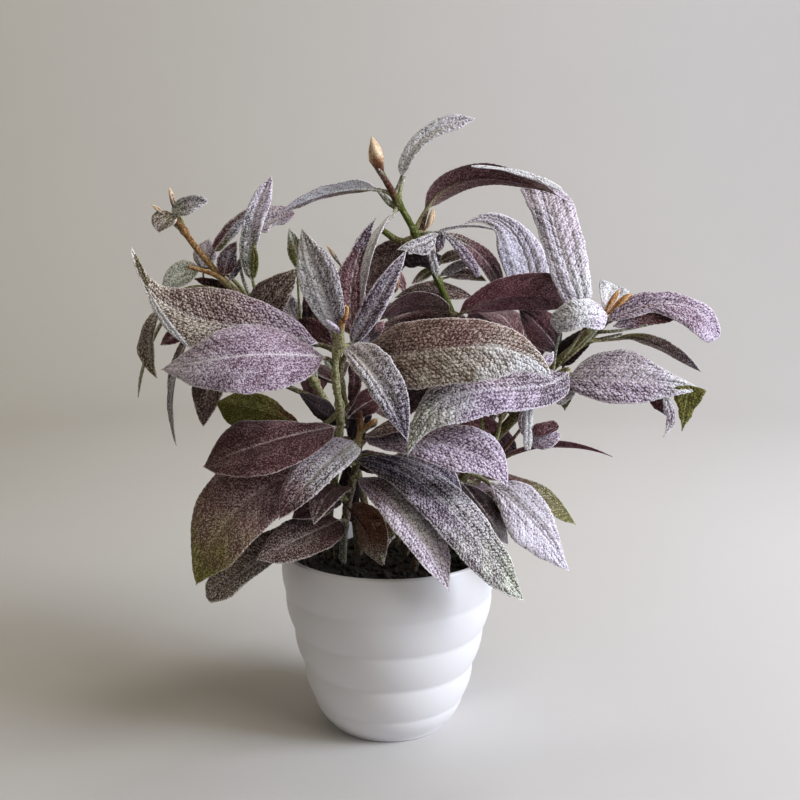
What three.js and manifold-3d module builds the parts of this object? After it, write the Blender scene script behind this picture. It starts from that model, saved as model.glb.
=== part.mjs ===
// Potted sage: a white banded pot, soil, and leafy stems that stand in holes in the soil.
// Millimetres, +Z up. The origin is the centre of the pot's foot, and -Y is the front.
import * as THREE from 'three';
import { mergeVertices } from 'three/addons/utils/BufferGeometryUtils.js';
import Module from 'manifold-3d';

const wasm = await Module();
wasm.setup();

// ---------------------------------------------------------------- driving dimensions
const POT = {
  height: 89, rimRadius: 52, footRadius: 30.5, wall: 2.6, floor: 4, bandBulge: 1.4, edge: 1.5, sides: 30,
};
const GROOVES = [[37.5, 13.5], [42, 31], [47, 49.5], [51, 68]]; // radius and height, lowest first
const SOIL = { top: 80, crown: 1.5, gap: 0.4, holeDepth: 12, holeRoom: 1.3, holeSides: 8, rootClear: 2 };
const BLADE = { thickness: 0.8, tipWidth: 1.4, columns: 2, wave: 0.05, baseward: 0.9, fullness: 0.85 };
const PETIOLE = { halfWidth: 0.9, halfThickness: 0.7 };
const WIDE_LEAF = { width: 20, bladeRows: 6, petioleRows: 2 }; // a leaf at least this wide
const OTHER_LEAF = { bladeRows: 4, petioleRows: 1 };
const GROWN_LEAF = { petiole: 6, fold: 8 };
const STEM = { footRadius: 2.1, tipRadius: 1.5, sides: 6, stepLength: 14 };
const BUD = { sides: 5, steps: 3, bluntness: 0.35 };

// ---------------------------------------------------------------- the plant in millimetres
// Stem: the points that its middle line runs through above the soil, from foot to tip.
const STEMS = {
  front: [[-23, -1, 80], [-21, -8, 104], [-16, -16, 131], [-12, -22, 154]],
  front_left: [
    [-29, 3, 80], [-29, -8, 104], [-25, -20, 131], [-22, -28, 158], [-24, -34, 181], [-21, -36, 203],
  ],
  centre: [
    [8, 6, 80], [20, 6, 120], [34, 2, 160], [35, 0, 186], [30, 0, 204], [14, 0, 239], [5, 0, 255],
    [-5, 0, 272],
  ],
  left: [
    [-15, 8, 80], [-20, 9, 120], [-32, 8, 161], [-58, 8, 199], [-78, 6, 218], [-93, 5, 236],
    [-101, 5, 248],
  ],
  right: [[20, -2, 80], [39, -6, 129], [62, -10, 159], [78, -12, 180], [99, -12, 201]],
  low_right: [[12, -12, 80], [25, -13, 112], [46, -14, 140], [64, -16, 160]],
  back_left: [[-8, 18, 80], [-18, 30, 130], [-26, 34, 180], [-20, 16, 222]],
  back: [[4, 22, 80], [8, 38, 130], [12, 48, 180], [14, 50, 215]],
  back_right: [[20, 14, 80], [40, 28, 120], [60, 32, 160], [76, 22, 195]],
};

// Bud: the points of its middle line, from inside the stem to its tip, and its radius.
const BUDS = {
  front: [[1.8, [-12, -22, 152], [-13, -23, 161]], [1.9, [-12, -22, 150], [-5, -25, 157]]],
  front_left: [[1.7, [-21, -36, 201], [-19, -36, 210]], [1.6, [-22, -35, 199], [-27, -38, 205]]],
  centre: [
    [3.6, [-4, 0, 270], [-6, 0, 278], [-8, 0, 286]],
    [1.6, [14, 0, 240], [19, -1, 246], [21, -1, 253]],
  ],
  left: [[1.3, [-100, 5, 246], [-104, 5, 263]], [1.1, [-100, 5, 245], [-112, 2, 255]]],
  right: [[1.4, [98, -12, 200], [107, -12, 216]], [1.8, [99, -12, 202], [113, -12, 214]]],
  back_left: [[1.0, [-20, 16, 221], [-30, 12, 236]], [1.0, [-20, 16, 221], [-15, 14, 240]]],
};

// Leaf: name, place on the stem (0 foot, 1 tip), width, fold in degrees along the midrib (edges
// rise towards the upper face), the way the upper face looks, and the points of the midrib.
const LEAVES = {
  front: [
    ['frosted_front', 0.92, 24, 6, [-0.3, -2, 1.4], [-16, -32, 148], [-29, -54, 141], [-47, -63, 120]],
    ['plum_low', 0.36, 22, 4, [0, -1, 1], [-23, -18, 107], [-40, -40, 105], [-59, -48, 97]],
    ['rust_frill', 0.42, 22, 14, [1, 3, 1], [-18, -20, 113], [-9, -36, 105], [-3, -41, 92]],
    ['lilac_over_rim', 0.66, 22, 8, [1, -3, 3], [-14, -24, 129], [9, -56, 117], [26, -66, 89]],
    ['long_over_rim', 0.76, 25, 6, [1, -2, 2],
     [-16, -25, 138], [16, -45, 130], [38, -58, 110], [60, -54, 80]],
    ['lilac_right', 0.9, 26, 6, [0, -3, 4],
     [-11, -27, 149], [16, -45, 151], [37, -54, 146], [52, -50, 131]],
    ['plum_small', 0.97, 14, 8, [0, -1, 2], [-10, -26, 150], [0, -36, 155], [12, -40, 157]],
    ['maroon_tip', 0.8, 18, 8, [0, -1, 1], [2, -26, 140], [18, -36, 137], [33, -38, 126]],
  ],
  front_left: [
    ['mauve_left', 0.82, 33, -6, [0, -3, 2], [-28, -38, 187], [-61, -58, 190], [-98, -50, 183]],
    ['curled_left', 0.9, 34, 4, [0, -1, 1],
     [-32, -26, 192], [-68, -33, 200], [-100, -28, 210], [-116, -22, 235]],
    ['silver_drop', 0.95, 17, 10, [0.3, -3, 1], [-19, -42, 192], [-4, -68, 179], [8, -68, 155]],
    ['brown_to_silver', 0.78, 30, -8, [0, -2, 1],
     [-16, -36, 190], [25, -66, 194], [48, -67, 194], [69, -60, 180]],
    ['grey_tall', 0.93, 18, 8, [-1, -4, 0], [-22, -39, 197], [-29, -45, 219], [-38, -34, 243]],
    ['mauve_tall', 0.92, 20, 8, [0, -1, 0], [-16, -27, 195], [-17, -14, 218], [-6, 2, 249]],
    ['lilac_slim', 0.9, 10, 10, [0, -1, 0], [-17, -32, 192], [-4, -34, 214], [8, -28, 234]],
    ['plum_left', 0.66, 29, 4, [0, -1, 1], [-24, -34, 155], [-53, -49, 151], [-83, -41, 138]],
    ['olive_hook', 0.7, 20, 18, [0, 2, -1], [-41, -24, 154], [-60, -26, 161], [-80, -22, 164]],
    ['broad_plum', 0.5, 35, 4, [-1, -3, 1], [-30, -28, 136], [-66, -45, 121], [-86, -50, 86]],
    ['under_plum', 0.26, 20, 4, [-1, -2, 2], [-32, -16, 109], [-58, -34, 93], [-84, -38, 76]],
    ['dark_wedge', 0.4, 16, 6, [0, -1, 1], [-27, -22, 122], [-34, -31, 118], [-44, -36, 113]],
    ['dark_short', 0.72, 14, 6, [0, -1, 1], [-19, -25, 157], [-10, -22, 164], [4, -18, 168]],
    ['dark_drop', 0.72, 11, 6, [0, -1, 1], [-22, -18, 153], [-31, -22, 161], [-41, -25, 169]],
  ],
  centre: [
    ['silver_wrap', 0.83, 10, 10, [0, -2, 1], [24, -4, 241], [15, -9, 237], [4, -11, 234]],
    ['silver_top', 0.93, 9, 20, [-1, -4, 2], [6, 0, 268], [14, 0, 283], [26, 0, 291], [40, 0, 294]],
    ['edge_on_left', 0.92, 12, 14, [0, 2, 3], [-5, 0, 262], [-20, 0, 262], [-36, 0, 258], [-51, 0, 251]],
    ['lilac_hanging', 0.91, 10, 20, [-1, -1, 0], [2, -3, 251], [-8, -20, 233], [-12, -27, 208]],
    ['maroon_arch', 0.84, 15, 12, [0, 1, 1], [17, 2, 252], [31, 4, 265], [58, -1, 266], [85, -12, 255]],
    ['olive_fold', 0.83, 13, 14, [1, -4, 3], [24, 2, 241], [42, 5, 233], [54, 7, 215]],
    ['maroon_inner', 0.82, 24, 10, [0, 1, 0], [7, 0, 238], [-1, 2, 225], [-7, 3, 204]],
    ['dark_low_left', 0.62, 20, 8, [0, 1, 2], [29, -3, 205], [14, -6, 208], [-4, -5, 201]],
    ['dark_arch', 0.64, 20, 14, [0, 2, 1], [33, -8, 204], [55, -7, 212], [84, 1, 208]],
    ['thin_above', 0.84, 8, 6, [0, 1, 3], [24, -2, 243], [36, -2, 245], [50, -2, 243]],
    ['small_olive', 0.76, 6, 6, [0, -1, 1], [22, 4, 226], [17, 2, 222], [11, 0, 218]],
    ['small_purple', 0.76, 7, 6, [0, -1, 1], [24, 6, 227], [31, 7, 231], [39, 7, 232]],
    ['small_brown', 0.72, 8, 6, [0, -1, 1], [28, 6, 221], [37, 7, 222], [47, 7, 219]],
  ],
  left: [
    ['tuft_silver', 0.97, 10, 20, [0, -2, 1], [-103, 5, 251], [-95, 2, 255], [-85, 0, 256]],
    ['tuft_olive', 0.97, 15, 20, [0, -1, 1], [-102, 5, 250], [-105, 2, 248], [-108, -2, 242]],
    ['brown_blade', 0.8, 9, 10, [0, -2, -1], [-84, 6, 233], [-75, 6, 244], [-65, 6, 254]],
    ['purple_inner', 0.76, 13, 10, [0, -1, 0], [-79, 4, 222], [-77, 3, 229], [-72, 2, 238]],
    ['slim_upright', 0.6, 9, 16, [0, -1, 0], [-65, 2, 219], [-65, -2, 241], [-55, 0, 268]],
    ['lilac_flag', 0.62, 12, 6, [0, -1, 1], [-63, 6, 243], [-55, 8, 248], [-45, 8, 251]],
    ['mint_behind', 0.74, 12, 6, [0, -1, 0], [-91, 8, 225], [-99, 8, 223], [-109, 6, 215]],
    ['mint_upright', 0.73, 11, 6, [0, -1, 0], [-90, 10, 224], [-89, 11, 231], [-87, 12, 239]],
    ['brown_mid', 0.45, 26, 8, [0, -1, 1], [-66, -2, 196], [-54, -7, 211], [-41, -8, 226]],
    ['olive_tip', 0.5, 8, 6, [0, -1, 0], [-44, 9, 224], [-45, 9, 235], [-48, 9, 244]],
    ['brown_hanging', 0.74, 14, 14, [-1, -1, 1], [-107, 2, 209], [-114, -4, 192], [-111, -4, 173]],
    ['olive_sliver', 0.7, 9, 8, [-1, 0, 0], [-108, 6, 203], [-118, 8, 184], [-123, 6, 162]],
    ['twisted_hanging', 0.62, 13, 14, [-2, -1, 0], [-92, -2, 200], [-103, -8, 168], [-102, -8, 141]],
    ['dark_hanging', 0.5, 20, 10, [-1, -2, 0], [-76, -4, 192], [-85, -12, 169], [-88, -12, 151]],
    ['blue_inner', 0.5, 12, 8, [0, -1, 0], [-44, 13, 198], [-49, 14, 206], [-52, 14, 214]],
    ['brown_bit', 0.66, 10, 6, [0, -1, 1], [-97, 9, 197], [-105, 8, 192], [-111, 6, 188]],
  ],
  right: [
    ['white_flap', 0.95, 14, 10, [0, -1, 0], [101, -10, 206], [103, -6, 211], [106, -2, 218]],
    ['lilac_far_right', 0.95, 19, 8, [0, -1, 1],
     [102, -13, 201], [120, -17, 209], [139, -17, 208], [154, -14, 194]],
    ['olive_edge_on', 0.92, 11, 12, [0, 2, 3],
     [107, -10, 193], [124, -6, 191], [138, -4, 184], [150, -2, 176]],
    ['lilac_bent', 0.78, 28, 4, [0, -3, 2],
     [83, -15, 174], [102, -24, 175], [121, -27, 174], [143, -27, 171]],
    ['tall_lilac', 0.84, 24, -6, [0, -4, 1], [91, -12, 205], [81, -8, 232], [77, 4, 252], [74, 18, 267]],
    ['silver_lip', 0.86, 15, -14, [0, -2, 1], [101, -16, 204], [85, -27, 206], [74, -22, 201]],
    ['lilac_under', 0.74, 20, -6, [0, -2, 1],
     [83, -19, 178], [54, -44, 174], [22, -60, 170], [8, -61, 147]],
    ['inner_dark', 0.66, 22, 8, [0, -1, 1], [83, 6, 185], [75, 5, 195], [63, 6, 206]],
  ],
  low_right: [
    ['lilac_narrow', 0.4, 15, 6, [1, -2, 1], [34, -20, 126], [45, -32, 114], [55, -34, 100]],
    ['lilac_hang_right', 0.62, 24, 4, [1, -3, 1], [48, -20, 125], [63, -36, 114], [83, -36, 88]],
    ['brown_behind', 0.6, 14, 8, [1, -1, 2], [54, -12, 128], [74, -14, 118], [90, -12, 103]],
    ['silver_hook', 0.98, 10, 10, [-1, -3, 1],
     [66, -20, 163], [65, -28, 150], [70, -31, 149], [77, -30, 152]],
    ['thin_right', 0.66, 5, 10, [0, 1, 1], [54, -12, 136], [76, -12, 142], [107, -10, 136]],
  ],
  back_left: [],
  back: [],
  back_right: [
    ['silver_back', 0.95, 21, 6, [0, -2, 1], [72, 22, 211], [67, 24, 233], [58, 28, 246], [37, 30, 246]],
  ],
};

// Leaf that grows by rule: place on the stem, heading (0 = +X, 90 = +Y), rise of the blade at its
// base and how far it bends down by its tip, all in degrees, then length and width.
const GROWN = {
  front: [[0.6, 250, 10, 40, 40, 17]],
  front_left: [[0.36, 200, 0, 50, 52, 24]],
  centre: [[0.3, 75, 20, 45, 50, 20], [0.55, 95, 0, 60, 50, 22]],
  left: [
    [0.28, 175, 0, 55, 55, 24], [0.3, 135, 20, 60, 55, 22], [0.52, 120, 10, 50, 55, 22],
    [0.7, 100, 10, 60, 50, 22],
  ],
  right: [[0.36, 30, -10, 50, 46, 20], [0.62, 120, 20, 60, 50, 22], [0.72, 60, 5, 60, 46, 22]],
  low_right: [[0.45, 350, 0, 50, 46, 20]],
  back_left: [
    [0.35, 165, 5, 50, 62, 26], [0.36, 100, 10, 60, 55, 24], [0.6, 110, 10, 60, 66, 28],
    [0.62, 195, 10, 50, 60, 26], [0.85, 150, 30, 60, 60, 26], [0.8, 100, 10, 70, 50, 22],
  ],
  back: [
    [0.3, 95, 0, 50, 60, 26], [0.5, 140, 10, 60, 60, 26], [0.55, 40, 10, 60, 64, 28],
    [0.72, 50, 10, 60, 56, 24], [0.8, 95, 25, 70, 68, 28], [0.85, 350, 5, 60, 40, 20],
    [0.95, 140, 30, 70, 55, 24],
  ],
  back_right: [
    [0.35, 80, 0, 50, 58, 26], [0.3, 25, -5, 50, 60, 26], [0.65, 80, 10, 60, 56, 26],
    [0.85, 75, 20, 70, 62, 26], [0.9, 120, 30, 70, 58, 24],
  ],
};

// ---------------------------------------------------------------- solids
const vector = (p) => new THREE.Vector3(p[0], p[1], p[2]);
const radians = THREE.MathUtils.degToRad;

function toSolid(geometry) {
  geometry.deleteAttribute('normal');
  geometry.deleteAttribute('uv');
  const merged = mergeVertices(geometry, 1e-4);
  const corners = merged.index.array;
  const triangles = [];
  for (let i = 0; i < corners.length; i += 3) {
    const [a, b, c] = corners.slice(i, i + 3);
    if (a !== b && b !== c && c !== a) triangles.push(a, b, c);
  }
  const vertProperties = new Float32Array(merged.attributes.position.array);
  const triVerts = new Uint32Array(triangles);
  return new wasm.Manifold(new wasm.Mesh({ numProp: 3, vertProperties, triVerts }));
}

function toMesh(name, solid, material) {
  const { vertProperties, triVerts } = solid.getMesh();
  const geometry = new THREE.BufferGeometry();
  geometry.setAttribute('position', new THREE.BufferAttribute(vertProperties, 3));
  geometry.setIndex(new THREE.BufferAttribute(triVerts, 1));
  geometry.computeVertexNormals();
  const mesh = new THREE.Mesh(geometry, material);
  mesh.name = name;
  return mesh;
}

// A round bar bent along a curve, with its radius given by a formula of the place along it.
function bentBar(curve, radiusAt, sides, steps) {
  const bar = new THREE.CylinderGeometry(1, 1, 1, sides, steps);
  const frames = curve.computeFrenetFrames(steps);
  const position = bar.attributes.position;
  for (let i = 0; i < position.count; i += 1) {
    const step = Math.round((position.getY(i) + 0.5) * steps);
    const radius = radiusAt(step / steps);
    const place = curve.getPointAt(step / steps);
    place.addScaledVector(frames.normals[step], -radius * position.getX(i));
    place.addScaledVector(frames.binormals[step], radius * position.getZ(i));
    position.setXYZ(i, place.x, place.y, place.z);
  }
  return toSolid(bar);
}

// ---------------------------------------------------------------- stems and buds
function stemCurve(name) {
  const [foot, ...rest] = STEMS[name];
  const root = [foot[0], foot[1], SOIL.top - SOIL.holeDepth + SOIL.rootClear];
  return new THREE.CatmullRomCurve3([root, foot, ...rest].map(vector));
}

function stemSolid(curve) {
  const steps = Math.round(curve.getLength() / STEM.stepLength);
  const radiusAt = (t) => THREE.MathUtils.lerp(STEM.footRadius, STEM.tipRadius, t);
  return bentBar(curve, radiusAt, STEM.sides, steps);
}

function budSolid([radius, ...points]) {
  const curve = new THREE.CatmullRomCurve3(points.map(vector));
  const radiusAt = (t) => radius * THREE.MathUtils.lerp(BUD.bluntness, 1, Math.sin(Math.PI * t));
  return bentBar(curve, radiusAt, BUD.sides, BUD.steps);
}

// ---------------------------------------------------------------- leaves
// The midrib: one smooth curve through three or four points.
class Midrib extends THREE.Curve {
  constructor(points) {
    super();
    this.points = points.map(vector);
    this.knots = [0];
    for (let i = 1; i < points.length; i += 1) {
      this.knots.push(this.knots[i - 1] + this.points[i].distanceTo(this.points[i - 1]));
    }
    const length = this.knots[points.length - 1];
    this.knots = this.knots.map((knot) => knot / length);
  }

  getPoint(t, target = new THREE.Vector3()) {
    target.set(0, 0, 0);
    this.points.forEach((point, i) => {
      const others = this.knots.filter((_, j) => j !== i);
      const weight = others.reduce((w, knot) => w * (t - knot) / (this.knots[i] - knot), 1);
      target.addScaledVector(point, weight);
    });
    return target;
  }
}

// The petiole: a curve from the stem's middle to the blade's base that meets the midrib smoothly.
function petioleCurve(from, spine) {
  const base = spine.getPoint(0);
  const handle = base.clone().addScaledVector(spine.getTangent(0), -from.distanceTo(base) / 2);
  return new THREE.QuadraticBezierCurve3(from, handle, base);
}

// One row across the leaf: points of its middle sheet from edge to edge.
function sheetRow(centre, along, across, halfWidth, fold, waveAt) {
  const side = across.clone().addScaledVector(along, -across.dot(along)).normalize();
  const up = new THREE.Vector3().crossVectors(side, along);
  const row = [];
  for (let j = 0; j <= BLADE.columns; j += 1) {
    const v = (2 * j) / BLADE.columns - 1;
    const rise = Math.abs(v) * Math.sin(fold) + waveAt(v);
    const point = centre.clone().addScaledVector(side, v * halfWidth * Math.cos(fold));
    row.push(point.addScaledVector(up, halfWidth * rise));
  }
  return row;
}

// The rows of a leaf from the stem to the tip, with half the thickness of each.
function leafRows(leaf, from) {
  const { spine, face, fold, width, bladeRows, petioleRows } = leaf;
  const petiole = petioleCurve(from, spine);
  const baseAcross = new THREE.Vector3().crossVectors(spine.getTangent(0), face);
  const flat = () => 0;
  const rows = [];
  for (let i = 0; i < petioleRows; i += 1) {
    const t = i / petioleRows;
    const [point, along] = [petiole.getPoint(t), petiole.getTangent(t)];
    const row = sheetRow(point, along, baseAcross, PETIOLE.halfWidth, 0, flat);
    rows.push({ row, halfThickness: PETIOLE.halfThickness });
  }
  for (let i = 0; i <= bladeRows; i += 1) {
    const u = i / bladeRows;
    const along = spine.getTangent(u);
    const across = new THREE.Vector3().crossVectors(along, face);
    const outline = Math.sin(Math.PI * u ** BLADE.baseward) ** BLADE.fullness;
    const halfWidth = Math.max(BLADE.tipWidth / 2, (width / 2) * outline);
    const waveAt = (v) => BLADE.wave * v * v * Math.sin(leaf.phase + 2 * Math.PI * u + Math.sign(v));
    const row = sheetRow(spine.getPoint(u), along, across, halfWidth, fold, waveAt);
    rows.push({ row, halfThickness: i === 0 ? PETIOLE.halfThickness : BLADE.thickness / 2 });
  }
  return rows;
}

// The closed leaf: the middle sheet raised and lowered by half the thickness, split alike on
// both faces, with its rim closed.
function leafSolid(leaf, from) {
  const rows = leafRows(leaf, from);
  const [last, columns] = [rows.length - 1, BLADE.columns];
  const upper = [];
  const lower = [];
  rows.forEach(({ row, halfThickness }, i) => {
    row.forEach((point, j) => {
      const along = rows[Math.min(i + 1, last)].row[j].clone().sub(rows[Math.max(i - 1, 0)].row[j]);
      const across = row[Math.min(j + 1, columns)].clone().sub(row[Math.max(j - 1, 0)]);
      const normal = new THREE.Vector3().crossVectors(across, along).normalize();
      upper.push(point.clone().addScaledVector(normal, halfThickness));
      lower.push(point.clone().addScaledVector(normal, -halfThickness));
    });
  });
  const count = upper.length;
  const at = (i, j) => i * (columns + 1) + j;
  const index = [];
  const quad = (a, b, c, d) => index.push(a, b, c, a, c, d);
  for (let i = 0; i < last; i += 1) {
    for (let j = 0; j < columns; j += 1) {
      const [a, b, c, d] = [at(i, j), at(i, j + 1), at(i + 1, j + 1), at(i + 1, j)];
      quad(a, b, c, d);
      index.push(count + a, count + c, count + b, count + a, count + d, count + c);
    }
    quad(at(i, 0), at(i + 1, 0), count + at(i + 1, 0), count + at(i, 0));
    quad(count + at(i, columns), count + at(i + 1, columns), at(i + 1, columns), at(i, columns));
  }
  for (let j = 0; j < columns; j += 1) {
    quad(count + at(0, j), count + at(0, j + 1), at(0, j + 1), at(0, j));
    quad(at(last, j), at(last, j + 1), count + at(last, j + 1), count + at(last, j));
  }
  const positions = [...upper, ...lower].flatMap((point) => point.toArray());
  const geometry = new THREE.BufferGeometry();
  geometry.setAttribute('position', new THREE.Float32BufferAttribute(positions, 3));
  geometry.setIndex(index);
  return toSolid(geometry);
}

// The midrib of a leaf that grows by rule, starting a petiole's length away from the stem.
function grownMidrib(from, heading, rise, bend, length) {
  const turn = radians(heading);
  const step = (angle, reach) => new THREE.Vector3(
    Math.cos(turn) * Math.cos(radians(angle)),
    Math.sin(turn) * Math.cos(radians(angle)),
    Math.sin(radians(angle)),
  ).multiplyScalar(reach);
  const base = from.clone().add(step(rise, GROWN_LEAF.petiole));
  const middle = base.clone().add(step(rise, length / 2));
  const tip = middle.clone().add(step(rise - bend, length / 2));
  return [base, middle, tip].map((p) => p.toArray());
}

function leafSolids(stem, curve) {
  const solids = [];
  const grow = (at, width, fold, face, points, grid) => {
    const spine = new Midrib(points);
    const leaf = { ...grid, spine, width, fold: radians(fold), face: vector(face), phase: at * 40 };
    solids.push(leafSolid(leaf, curve.getPointAt(at)));
  };
  for (const [, at, width, fold, face, ...points] of LEAVES[stem]) {
    grow(at, width, fold, face, points, width < WIDE_LEAF.width ? OTHER_LEAF : WIDE_LEAF);
  }
  for (const [at, heading, rise, bend, length, width] of GROWN[stem]) {
    const points = grownMidrib(curve.getPointAt(at), heading, rise, bend, length);
    grow(at, width, GROWN_LEAF.fold, [0, 0, 1], points, OTHER_LEAF);
  }
  return solids;
}

// ---------------------------------------------------------------- pot and soil
// Levels of the wall from the foot to the rim: outer radius and height.
const LEVELS = [[POT.footRadius, POT.edge], ...GROOVES, [POT.rimRadius, POT.height - POT.edge]];

function potSolid() {
  const profile = [[0, 0], [POT.footRadius - POT.edge, 0], LEVELS[0]];
  for (let i = 1; i < LEVELS.length; i += 1) {
    const [[lowRadius, lowZ], [highRadius, highZ]] = [LEVELS[i - 1], LEVELS[i]];
    for (const part of [0.25, 0.5, 0.75]) {
      const bulge = POT.bandBulge * Math.sin(Math.PI * part);
      const radius = THREE.MathUtils.lerp(lowRadius, highRadius, part) + bulge;
      profile.push([radius, THREE.MathUtils.lerp(lowZ, highZ, part)]);
    }
    profile.push([highRadius, highZ]);
  }
  profile.push([POT.rimRadius - POT.wall / 2, POT.height]);
  profile.push(...insideLevels(0).reverse(), [0, POT.floor]);
  return latheSolid(profile);
}

// The pot's inner wall from the floor up, moved inwards by a gap.
function insideLevels(gap) {
  const wall = LEVELS.slice(1).map(([radius, z]) => [radius - POT.wall - gap, z]);
  return [[POT.footRadius - POT.wall - gap, POT.floor + gap], ...wall];
}

function latheSolid(profile) {
  const points = profile.map(([r, z]) => new THREE.Vector2(r, z));
  return toSolid(new THREE.LatheGeometry(points, POT.sides).rotateX(Math.PI / 2));
}

function soilSolid() {
  const walls = insideLevels(SOIL.gap);
  const [[lowRadius, lowZ], [highRadius, highZ]] = walls.slice(-2);
  const part = (SOIL.top - lowZ) / (highZ - lowZ);
  const top = [THREE.MathUtils.lerp(lowRadius, highRadius, part), SOIL.top];
  const crown = [0, SOIL.top + SOIL.crown];
  let solid = latheSolid([[0, POT.floor + SOIL.gap], ...walls.slice(0, -1), top, crown]);
  for (const [foot] of Object.values(STEMS)) {
    const radius = STEM.footRadius + SOIL.holeRoom;
    const hole = new THREE.CylinderGeometry(radius, radius, 2 * SOIL.holeDepth, SOIL.holeSides);
    hole.rotateX(Math.PI / 2).translate(foot[0], foot[1], SOIL.top);
    solid = solid.subtract(toSolid(hole));
  }
  return solid;
}

// ---------------------------------------------------------------- the scene graph
const MATERIALS = {
  pot: new THREE.MeshStandardMaterial({ color: 0xe9e6e6, roughness: 0.45, metalness: 0 }),
  soil: new THREE.MeshStandardMaterial({ color: 0x16120f, roughness: 1, metalness: 0 }),
  leaf: new THREE.MeshStandardMaterial({ color: 0x8a7686, roughness: 0.9, metalness: 0 }),
};

const group = new THREE.Group();
group.add(toMesh('pot', potSolid(), MATERIALS.pot));
group.add(toMesh('soil', soilSolid(), MATERIALS.soil));
for (const name of Object.keys(STEMS)) {
  const curve = stemCurve(name);
  const buds = (BUDS[name] ?? []).map(budSolid);
  const solid = wasm.Manifold.union([stemSolid(curve), ...buds, ...leafSolids(name, curve)]);
  group.add(toMesh(`stem_${name}`, solid, MATERIALS.leaf));
}

export default group;
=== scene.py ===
# Potted sage: the fine leaves, stems, buds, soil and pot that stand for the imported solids, with
# their materials, soft light from the right, a pale floor and the camera.
# Lengths in the tables are millimetres in the part's own frame, +Z up and -Y to the front.
import math
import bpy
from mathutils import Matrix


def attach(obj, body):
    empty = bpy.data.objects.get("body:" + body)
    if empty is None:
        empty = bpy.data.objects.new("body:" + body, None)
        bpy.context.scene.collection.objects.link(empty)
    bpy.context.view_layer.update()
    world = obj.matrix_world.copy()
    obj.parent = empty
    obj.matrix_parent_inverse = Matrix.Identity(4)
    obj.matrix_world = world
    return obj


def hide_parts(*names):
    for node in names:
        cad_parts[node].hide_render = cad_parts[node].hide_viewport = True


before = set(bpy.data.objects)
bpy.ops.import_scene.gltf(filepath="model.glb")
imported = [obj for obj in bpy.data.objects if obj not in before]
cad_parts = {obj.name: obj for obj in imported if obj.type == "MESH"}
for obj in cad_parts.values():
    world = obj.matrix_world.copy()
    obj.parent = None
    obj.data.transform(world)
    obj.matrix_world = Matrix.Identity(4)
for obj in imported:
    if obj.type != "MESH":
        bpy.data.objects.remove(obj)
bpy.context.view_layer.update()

from types import SimpleNamespace

import bpy
import numpy as np
from mathutils import Vector

MM = 0.001

# ---- sizes, as in the part
POT = dict(height=89, rim_radius=52, foot_radius=30.5, wall=2.6, floor=4, bulge=1.4, edge=1.5)
GROOVES = [(37.5, 13.5), (42, 31), (47, 49.5), (51, 68)]  # radius and height, lowest first
SOIL = dict(top=80, crown=1.5, gap=0.4, inset=1.2, root=70)
STEM_RADIUS = (2.1, 1.5)  # at the foot and at the tip
BASEWARD, FULLNESS, WAVE = 0.9, 0.85, 0.05  # the leaf's outline and the waves of its margin
GROWN_PETIOLE, GROWN_FOLD = 6, 8
FRONT, RAISED = (0, -1, 0), (0, -1, 1)  # the ways that most leaves face

# Stem: the points that its middle line runs through above the soil, from foot to tip.
STEMS = {"front": [
    (-23, -1, 80), (-21, -8, 104), (-16, -16, 131), (-12, -22, 154),
], "front_left": [
    (-29, 3, 80), (-29, -8, 104), (-25, -20, 131), (-22, -28, 158), (-24, -34, 181), (-21, -36, 203),
], "centre": [
    (8, 6, 80), (20, 6, 120), (34, 2, 160), (35, 0, 186), (30, 0, 204), (14, 0, 239), (5, 0, 255),
    (-5, 0, 272),
], "left": [
    (-15, 8, 80), (-20, 9, 120), (-32, 8, 161), (-58, 8, 199), (-78, 6, 218), (-93, 5, 236),
    (-101, 5, 248),
], "right": [
    (20, -2, 80), (39, -6, 129), (62, -10, 159), (78, -12, 180), (99, -12, 201),
], "low_right": [
    (12, -12, 80), (25, -13, 112), (46, -14, 140), (64, -16, 160),
], "back_left": [
    (-8, 18, 80), (-18, 30, 130), (-26, 34, 180), (-20, 16, 222),
], "back": [
    (4, 22, 80), (8, 38, 130), (12, 48, 180), (14, 50, 215),
], "back_right": [
    (20, 14, 80), (40, 28, 120), (60, 32, 160), (76, 22, 195),
]}

# Bud: its radius, and the points of its middle line from inside the stem to its tip.
BUDS = {"front": [
    (1.8, (-12, -22, 152), (-13, -23, 161)), (1.9, (-12, -22, 150), (-5, -25, 157)),
], "front_left": [
    (1.7, (-21, -36, 201), (-19, -36, 210)), (1.6, (-22, -35, 199), (-27, -38, 205)),
], "centre": [
    (3.6, (-4, 0, 270), (-6, 0, 278), (-8, 0, 286)), (1.6, (14, 0, 240), (19, -1, 246), (21, -1, 253)),
], "left": [
    (1.3, (-100, 5, 246), (-104, 5, 263)), (1.1, (-100, 5, 245), (-112, 2, 255)),
], "right": [
    (1.4, (98, -12, 200), (107, -12, 216)), (1.8, (99, -12, 202), (113, -12, 214)),
], "back_left": [
    (1.0, (-20, 16, 221), (-30, 12, 236)), (1.0, (-20, 16, 221), (-15, 14, 240)),
]}

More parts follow.
